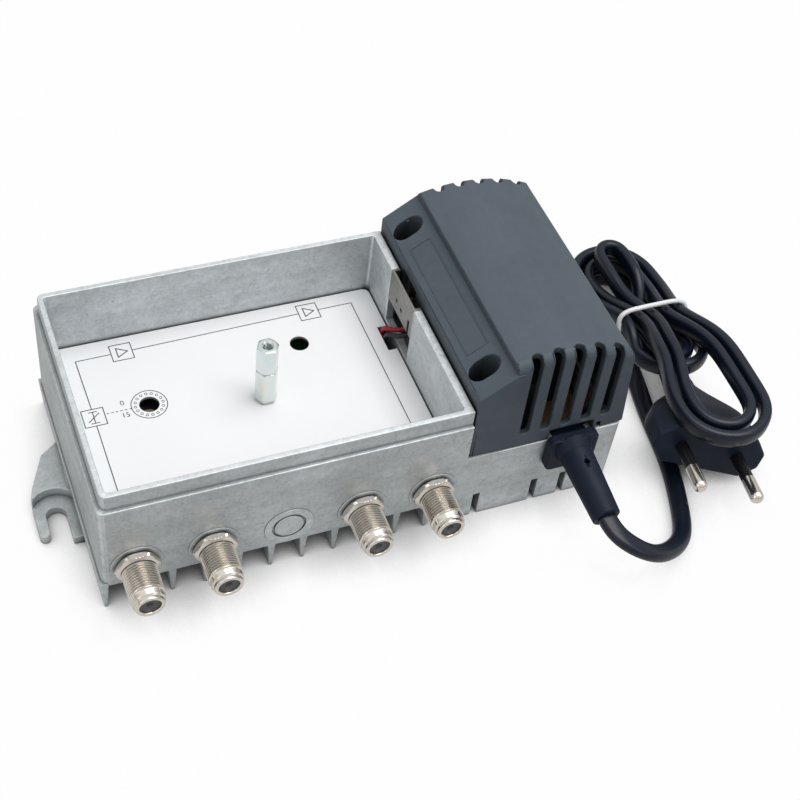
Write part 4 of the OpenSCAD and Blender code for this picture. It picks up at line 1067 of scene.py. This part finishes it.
def make_plug():
    """The moulded plug: rounded octagons along its length, from the wide face to the round ribbed tail."""
    lip = np.linspace(0.0, np.pi / 2, 7)
    run = np.linspace(FACE_EDGE + 0.8, PLUG_TAPER_END, 44)
    body_y = np.concatenate([FACE_EDGE * (1 - np.cos(lip)), run])
    inset = np.concatenate([FACE_EDGE * (1 - np.sin(lip)), 0 * run])
    plan, side = plug_outline(body_y, PLUG_PLAN), plug_outline(body_y, PLUG_SIDE)
    part = ease((body_y - ROUND_FROM) / (PLUG_TAPER_END - ROUND_FROM))
    bevels = [(1 - part) * bevel + part * TAIL_R[0] * REGULAR for bevel in FACE_BEVEL]
    radius = (1 - part) * FACE_ROUND + part * TAIL_R[0] * NEARLY_ROUND
    body = rounded_octagon(plan - inset, side - inset, *bevels, radius - 0.6 * inset, 7)
    tail_y = np.linspace(PLUG_TAPER_END + 0.1, PLUG_END, 90)
    tail_r = tail_radius(tail_y)
    bevel = tail_r * REGULAR
    tail = rounded_octagon(tail_r, tail_r, bevel, bevel, tail_r * NEARLY_ROUND, 7)
    outline = np.concatenate([body, tail])
    y = np.concatenate([body_y, tail_y])[:, None] + 0 * outline[..., 0]
    points = plug_place(np.stack([outline[..., 0], y, outline[..., 1]], axis=2))
    new_piece("plug_shell", closed_tube(points), finish("plug"),
              stands_for=["plug_body"])


PIN_GAP = 18.6
PIN_R = 2.0
PIN_CORE_R = 1.4
PIN_LENGTH = 19.0
SLEEVE_LENGTH = 10.0
PIN_DEPTH = 8.0
PIN_NOSE = 1.7
PIN_CHAMFER = 0.12


def make_pins():
    """Both pins: a thin core inside the sleeve and a full-size tip with a domed nose."""
    dome = np.linspace(0.0, np.pi / 2, 10)
    nose = np.stack([PIN_R * np.cos(dome), PIN_LENGTH + PIN_NOSE * (np.sin(dome) - 1)], axis=1)
    nose[-1, 0] = 0.0
    profile = np.concatenate([[
        (0.0, -PIN_DEPTH), (PIN_CORE_R, -PIN_DEPTH), (PIN_CORE_R, SLEEVE_LENGTH),
        (PIN_R - PIN_CHAMFER, SLEEVE_LENGTH), (PIN_R, SLEEVE_LENGTH + PIN_CHAMFER),
        (PIN_R, SLEEVE_LENGTH + 3.0)], nose])
    points = turned(profile, 32)
    pins = []
    for x in (-PIN_GAP / 2, PIN_GAP / 2):
        local = np.stack([points[..., 0] + x, -points[..., 2], points[..., 1]], axis=2)
        pins.append(turned_shell(plug_place(local)))
    new_piece("plug_contact_pins", joined(pins), finish("nickel"),
              stands_for=["plug_pins"])


class MakeCord(bpy.types.Operator):
    """Bushing, flat cord, tie and plug"""

    bl_idname = "amplifier.cord"
    bl_label = "Cord and plug"

    def execute(self, context):
        softened("strain_relief", finish("bushing"), edge=0.5 * MM)
        make_plug()
        make_pins()
        paint("plug_pin_sleeves", finish("sleeve"))
        make_tie()
        make_cord(context.scene.amplifier_cord)
        return {"FINISHED"}


class MakeCasting(bpy.types.Operator):
    """Die-cast housing"""

    bl_idname = "amplifier.casting"
    bl_label = "Casting"

    def execute(self, context):
        softened("housing", finish("casting"), context.scene.amplifier_metal.cast_edge)
        return {"FINISHED"}


# The hood's raised frame lies on its sloping band
BAND_FOOT = (101.2, 49.4)
BAND_RIDGE = (111.2, 56.0)


def band_point(across, y, lift):
    """A point on the hood's band: across runs up its slope in millimetres, lift stands off it."""
    run = np.array([BAND_RIDGE[0] - BAND_FOOT[0], BAND_RIDGE[1] - BAND_FOOT[1]])
    slope = run / np.hypot(*run)
    x = BAND_FOOT[0] + across * slope[0] - lift * slope[1]
    z = BAND_FOOT[1] + across * slope[1] + lift * slope[0]
    return np.stack(np.broadcast_arrays(x, y, z), axis=-1)


def make_hood_frame():
    """Plain raised frame: a low rounded rib carried round a rectangle on the band."""
    low, high, near, far = 2.6, 9.4, 15.5, 57.5
    width, height = 0.32, 0.16
    corners = np.array([(low, near), (high, near), (high, far), (low, far)])
    inner = corners + np.array([(1, 1), (-1, 1), (-1, -1), (1, -1)]) * width
    rings = []
    for outline, lift in ((corners, -0.05), (corners, height * 0.6), (corners * 0.8 + inner * 0.2, height),
                          (corners * 0.2 + inner * 0.8, height), (inner, height * 0.6), (inner, -0.05)):
        rings.append(band_point(outline[:, 0], outline[:, 1], lift))
    points = casting(np.stack(rings))
    new_piece("hood_frame", closed_tube(points, wrap_rows=True), finish("hood"))


class MakeHood(bpy.types.Operator):
    """Vented hood and its screws"""

    bl_idname = "amplifier.hood"
    bl_label = "Hood"

    def execute(self, context):
        softened("psu_cover", finish("hood"), context.scene.amplifier_plastic.hood_edge)
        make_hood_frame()
        softened("cover_screws", finish("steel"), edge=0.12 * MM, segments=2)
        return {"FINISHED"}


# Ports: places along the front and height, then sizes along their axis from the pad on the front wall
PORT_PLACES = (9.1, 29.7, 70.9, 91.5)
PORT_HEIGHT = 16.5
PAD_HEIGHT = 0.3
PORT_TIP = 13.9
PORT_BACK = -9.6
NUT_AF = 11.0
NUT_T = 2.4
NUT_BORE_R = 4.38
NUT_CHAMFER = 0.3
THREAD_START = 2.7
THREAD_END = 10.6
THREAD_R = 4.76
ROOT_R = 4.3
BORE_R = 2.9
NOSE_R = 3.35
NOSE_ROUND = 0.55
FLANGE_R = 4.95
FLANGE_Z = (-3.1, -4.7)
BACK_R = 4.2


def port_points(metal):
    """A port body round its whole section: nose, neck, thread, shank, inner flange, and back up the bore."""
    columns = 72
    bow = np.linspace(0.0, np.pi, 13)
    nose = np.stack([
        NOSE_R - NOSE_ROUND * np.cos(bow), PORT_TIP - NOSE_ROUND + NOSE_ROUND * np.sin(bow)], axis=1)
    neck = np.array([(3.9, 12.75), (4.05, 12.55), (4.3, 12.35), (4.36, 12.2), (4.36, 11.0), (4.5, 10.8)])
    thread = helix(THREAD_START, THREAD_END, metal.thread_pitch / MM, THREAD_R,
                   THREAD_R - metal.thread_depth / MM, columns)
    front, rear = FLANGE_Z
    back = np.array([
        (ROOT_R, THREAD_START), (ROOT_R, front), (FLANGE_R, front), (FLANGE_R, rear), (BACK_R, rear),
        (BACK_R, PORT_BACK), (BORE_R, PORT_BACK), (BORE_R, -3.0), (BORE_R, 6.0), (BORE_R, PORT_TIP - 0.9)])
    ahead = turned(np.concatenate([nose, neck]), columns)
    return np.concatenate([ahead, thread[::-1], turned(back, columns)])


def nut_points():
    """A port's nut: the bar's outside, closed by its bore."""
    columns = 120
    bore = np.array([
        (NUT_BORE_R + NUT_CHAMFER, NUT_T), (NUT_BORE_R, NUT_T - NUT_CHAMFER), (NUT_BORE_R, 0.0)])
    return np.concatenate([hex_bar(NUT_AF, NUT_T, columns), turned(bore, columns)])


def at_port(points, x):
    """Points of a port's own frame, whose Z is its axis, in metres in the part's frame."""
    right, up, along = np.moveaxis(points, -1, 0)
    return casting(np.stack([right + x, -along - PAD_HEIGHT, up + PORT_HEIGHT], axis=-1))


def make_port(number, x, metal):
    """A threaded port body with its nut, insulator and contact."""
    shapes = (
        ("port_shell", "port_body", port_points(metal), 35),
        ("port_nut_skin", "port_nut", nut_points(), 22))
    for name, node, points, sharp in shapes:
        shell = turned_shell(at_port(points, x), wrap_rows=True)
        new_piece(f"{name}_{number}", shell, finish("nickel"),
                  stands_for=[f"{node}_{number}"], sharp=math.radians(sharp))
    paint(f"port_insulator_{number}", finish("insulator"))
    paint(f"port_contact_{number}", finish("brass"))


class MakePorts(bpy.types.Operator):
    """Threaded coaxial ports"""

    bl_idname = "amplifier.ports"
    bl_label = "Ports"

    def execute(self, context):
        for number, x in enumerate(PORT_PLACES, start=1):
            make_port(number, x, context.scene.amplifier_metal)
        return {"FINISHED"}


# Printed marks on the deck plate, in millimetres from the casting's corner
INK_THICKNESS = 0.02
SWITCH_AT = np.array([24.5, 44.8])
SIGNAL_LINE = [(9.1, 3.6), (9.1, 41.2), (9.1, 47.2), (8.9, 65.4), (19.0, 65.5), (25.0, 65.6), (74.8, 66.5),
               (80.8, 66.6), (91.2, 66.7), (91.5, 3.6)]
SIGNAL_STRETCHES = ((0, 1), (2, 3, 4), (5, 6), (7, 8, 9))
GAIN_BOXES = ((22.0, 65.6), (77.8, 66.6))
STEP_BOX = (9.1, 44.2)
BOX_SIDE = 6.0
GAIN_SYMBOL = [(-1.3, -1.7), (1.7, 0.0), (-1.3, 1.7)]
STEP_SYMBOL = (
    [(-1.2, -2.0), (1.2, -2.0)], [(-1.2, 2.0), (1.2, 2.0)], [(0, -2.0), (0, 2.0)], [(-1.7, -1.4), (1.7, 1.4)])
DASH = 0.75
DASH_PITCH = 1.25
DASH_LIFT = 0.4
DASH_START = 0.5
DASH_STOP = 5.4
DIAL_R = 4.95
DIAL_STEPS = 16
DOT_RING_R = 3.85
DOT_R = 0.36
DIGITS = {"0": (16.9, 46.4), "15": (16.3, 42.0)}
DIGIT_HEIGHT = 2.4


def ribbon(points, width, closed=False):
    """A flat printed line: two rails either side of it, mitred at its corners, with a little thickness."""
    points = np.asarray(points, float)
    ahead = np.roll(points, -1, axis=0) - points
    if not closed:
        ahead[-1] = ahead[-2]
    ahead = unit(ahead)
    behind = np.roll(ahead, 1, axis=0)
    if not closed:
        behind[0] = ahead[0]
    normal_a = np.stack([-ahead[:, 1], ahead[:, 0]], axis=1)
    normal_b = np.stack([-behind[:, 1], behind[:, 0]], axis=1)
    mitre = (normal_a + normal_b) / (1 + (normal_a * normal_b).sum(axis=1, keepdims=True))
    left, right = points + mitre * width / 2, points - mitre * width / 2
    low = np.full((len(points), 1), PLATE_TOP / MM)
    high = low + INK_THICKNESS
    corners = ((left, low), (left, high), (right, high), (right, low))
    rails = np.stack([np.hstack(corner) for corner in corners], axis=1)
    return closed_tube(casting(rails), wrap_rows=closed)


def circle(middle, radius, count):
    """Points round a circle."""
    a = np.radians(np.linspace(0.0, 360.0, count, endpoint=False))
    return np.asarray(middle) + radius * np.stack([np.cos(a), np.sin(a)], axis=1)


def square(middle, side):
    """The corners of a square."""
    return np.asarray(middle) + side / 2 * np.array([(-1, -1), (1, -1), (1, 1), (-1, 1)])


def printed_digits(text, place):
    """Plain figures as a mesh, laid on the plate from their lower left corner."""
    curve = bpy.data.curves.new("digits", "FONT")
    curve.body = text
    curve.size = DIGIT_HEIGHT * MM
    curve.extrude = INK_THICKNESS * MM / 2
    holder = bpy.data.objects.new("digits", curve)
    mesh = bpy.data.meshes.new_from_object(holder)
    vertices = np.empty(len(mesh.vertices) * 3)
    mesh.vertices.foreach_get("co", vertices)
    lift = PLATE_TOP / MM + INK_THICKNESS / 2
    vertices = vertices.reshape(-1, 3) + casting((*place, lift))
    faces = [list(polygon.vertices) for polygon in mesh.polygons]
    bpy.data.objects.remove(holder)
    bpy.data.meshes.remove(mesh)
    bpy.data.curves.remove(curve)
    return vertices, faces


def make_prints(width):
    """Signal path, stage symbols, dial ring and plain figures as one printed layer."""
    line = np.array(SIGNAL_LINE)
    step = np.array(STEP_BOX)
    marks = [ribbon(line[list(stretch)], width) for stretch in SIGNAL_STRETCHES]
    for middle in GAIN_BOXES:
        marks.append(ribbon(square(middle, BOX_SIDE), width, closed=True))
        marks.append(ribbon(np.array(middle) + np.array(GAIN_SYMBOL), width * 1.15, closed=True))
    marks.append(ribbon(square(step, BOX_SIDE), width, closed=True))
    for symbol in STEP_SYMBOL:
        marks.append(ribbon(step + np.array(symbol), width))
    dash_y = step[1] + DASH_LIFT
    for x in np.arange(step[0] + BOX_SIDE / 2 + DASH_START, SWITCH_AT[0] - DASH_STOP, DASH_PITCH):
        marks.append(ribbon([(x, dash_y), (x + DASH, dash_y)], width * 0.9))
    marks.append(ribbon(circle(SWITCH_AT, DIAL_R, 72), width * 0.9, closed=True))
    for dot in circle(SWITCH_AT, DOT_RING_R, DIAL_STEPS):
        marks.append(ribbon(circle(dot, DOT_R, 16), width * 0.6, closed=True))
    for text, place in DIGITS.items():
        marks.append(printed_digits(text, place))
    new_piece("plate_print", joined(marks), finish("ink"), sharp=math.radians(10))


class MakeDeck(bpy.types.Operator):
    """Deck plate and its printed marks"""

    bl_idname = "amplifier.deck"
    bl_label = "Deck plate"

    def execute(self, context):
        softened("deck_plate", finish("plate"), edge=0.12 * MM, segments=2)
        make_prints(context.scene.amplifier_plastic.line_width / MM)
        return {"FINISHED"}


# Spacers, stacked on the deck plate over the middle boss
STACK_AT = (55.7, 38.5)
DECK_Z = PLATE_TOP / MM
SPACER_AF = 5.5
SPACER_HOLE_R = 1.25
SPACER_HOLE_DEPTH = 7.0
SPACER_CHAMFER = 0.4
M3_PITCH = 0.5
M3_DEPTH = 0.22
STUD_LENGTH = 6.0
STUD_R = 1.2
STUD_TIP_R = 0.9
SPACER_LENGTHS = (12.0, 9.0)


def make_spacer(name, node, base, length):
    """A hexagonal spacer: a stud below, the bar's outside, and a threaded hole from above."""
    columns = 72
    floor = length - SPACER_HOLE_DEPTH
    rim = length - SPACER_CHAMFER
    stud = turned(np.array([
        (0.0, -STUD_LENGTH), (STUD_TIP_R, -STUD_LENGTH), (STUD_R, SPACER_CHAMFER - STUD_LENGTH),
        (STUD_R, 0.0)]), columns)
    mouth = turned(np.array([(SPACER_HOLE_R + SPACER_CHAMFER, length), (SPACER_HOLE_R, rim)]), columns)
    hole = helix(floor, rim, M3_PITCH, SPACER_HOLE_R, SPACER_HOLE_R + M3_DEPTH, columns)[::-1]
    end = turned(np.array([(0.0, floor)]), columns)
    points = np.concatenate([stud, hex_bar(SPACER_AF, length, columns), mouth, hole, end])
    shell = turned_shell(casting(points + np.array([*STACK_AT, base])))
    new_piece(name, shell, finish("zinc"), stands_for=[node], sharp=math.radians(24))


class MakeSpacers(bpy.types.Operator):
    """Hexagonal spacers"""

    bl_idname = "amplifier.spacers"
    bl_label = "Spacers"

    def execute(self, context):
        low, top = SPACER_LENGTHS
        make_spacer("spacer_low", "standoff_lower", DECK_Z, low)
        make_spacer("spacer_top", "standoff_upper", DECK_Z + low, top)
        return {"FINISHED"}


class MakeSwitch(bpy.types.Operator):
    """Step switch and indicator"""

    bl_idname = "amplifier.switch"
    bl_label = "Step switch"

    def execute(self, context):
        softened("attenuator_body", finish("black"), edge=0.2 * MM)
        softened("attenuator_rotor", finish("rotor"), edge=0.08 * MM, segments=2, body=ROTOR)
        softened("power_led", finish("lens"), edge=0.06 * MM, segments=2)
        return {"FINISHED"}


WIRE_ROUTE = np.array([
    (112.4, 53.4, 16.6), (112.4, 53.4, 22), (111.4, 52.8, 26.6), (108.4, 51.2, 28.6), (104, 49.4, 28.6),
    (100.6, 49, 28), (98.2, 49.8, 27.6), (96.6, 51.6, 26.8), (96.2, 53.2, 24.6), (96.2, 53.4, 20),
    (96.2, 53.4, 15.8)])
WIRE_D = 1.4
WIRE_STEP = 2.6


def make_wire(name, node, look, step):
    """A round supply wire along its route."""
    path = rounded_route(WIRE_ROUTE + np.array([0.0, step, 0.0]), CURVE_STEPS)
    ahead = unit(np.gradient(path, axis=0))
    side = unit(np.cross(np.cross(ahead, [0.0, 1.0, 0.0]), ahead))
    points = swept(path, side, np.cross(side, ahead), ring_section(16, WIRE_D, WIRE_D, 2.0))
    new_piece(name, closed_tube(casting(points)), finish(look), stands_for=[node])


class MakeWires(bpy.types.Operator):
    """Sheet bracket and supply wires"""

    bl_idname = "amplifier.wires"
    bl_label = "Bracket and wires"

    def execute(self, context):
        softened("shield_bracket", finish("tin"), edge=0.1 * MM, segments=2)
        make_wire("wire_red", "supply_wire_plus", "red wire", 0.0)
        make_wire("wire_black", "supply_wire_minus", "black wire", -WIRE_STEP)
        return {"FINISHED"}


INSIDE = {
    "amplifier_board": "green board", "board_screws": "steel", "amplifier_module": "black",
    "psu_board": "tan board", "psu_screws": "steel", "transformer_core": "black", "transformer_coil": "tape",
    "input_capacitor": "black", "output_capacitor": "black", "suppression_capacitor": "film",
    "fuse": "nickel", "rectifier": "black"}


class MakeInside(bpy.types.Operator):
    """Boards and their parts under the plate and the hood"""

    bl_idname = "amplifier.inside"
    bl_label = "Inside"

    def execute(self, context):
        for node, look in INSIDE.items():
            paint(node, finish(look))
        return {"FINISHED"}


class AmplifierPanel(bpy.types.Panel):
    """Lists the amplifier's steps and settings"""

    bl_idname = "VIEW3D_PT_amplifier"
    bl_label = "TV signal amplifier"
    bl_space_type = "VIEW_3D"
    bl_region_type = "UI"
    bl_category = "Amplifier"

    def draw(self, context):
        for operator in OPERATORS:
            self.layout.operator(operator.bl_idname)
        for group, kind in SETTINGS.items():
            box = self.layout.box()
            for label in kind.__annotations__:
                box.prop(getattr(context.scene, group), label)


OPERATORS = (
    MakeStage, MakeCord, MakeCasting, MakeHood, MakePorts, MakeDeck, MakeSpacers, MakeSwitch, MakeWires,
    MakeInside)
SETTINGS = {
    "amplifier_stage": StageSettings, "amplifier_metal": MetalSettings, "amplifier_plastic": PlasticSettings,
    "amplifier_cord": CordSettings}


def register():
    """Registers the classes and puts the settings on the scene."""
    for kind in (*SETTINGS.values(), *OPERATORS, AmplifierPanel):
        bpy.utils.register_class(kind)
    for name, kind in SETTINGS.items():
        setattr(bpy.types.Scene, name, PointerProperty(type=kind))


def unregister():
    """Takes the settings off the scene and the classes out."""
    for name in SETTINGS:
        delattr(bpy.types.Scene, name)
    for kind in (AmplifierPanel, *reversed(OPERATORS), *SETTINGS.values()):
        bpy.utils.unregister_class(kind)


def main():
    """Makes every piece in order."""
    register()
    for group in GROUPS:
        make_group(*group)
    bpy.ops.amplifier.stage()
    bpy.ops.amplifier.cord()
    bpy.ops.amplifier.casting()
    bpy.ops.amplifier.hood()
    bpy.ops.amplifier.ports()
    bpy.ops.amplifier.deck()
    bpy.ops.amplifier.spacers()
    bpy.ops.amplifier.switch()
    bpy.ops.amplifier.wires()
    bpy.ops.amplifier.inside()


if __name__ == "__main__":
    main()
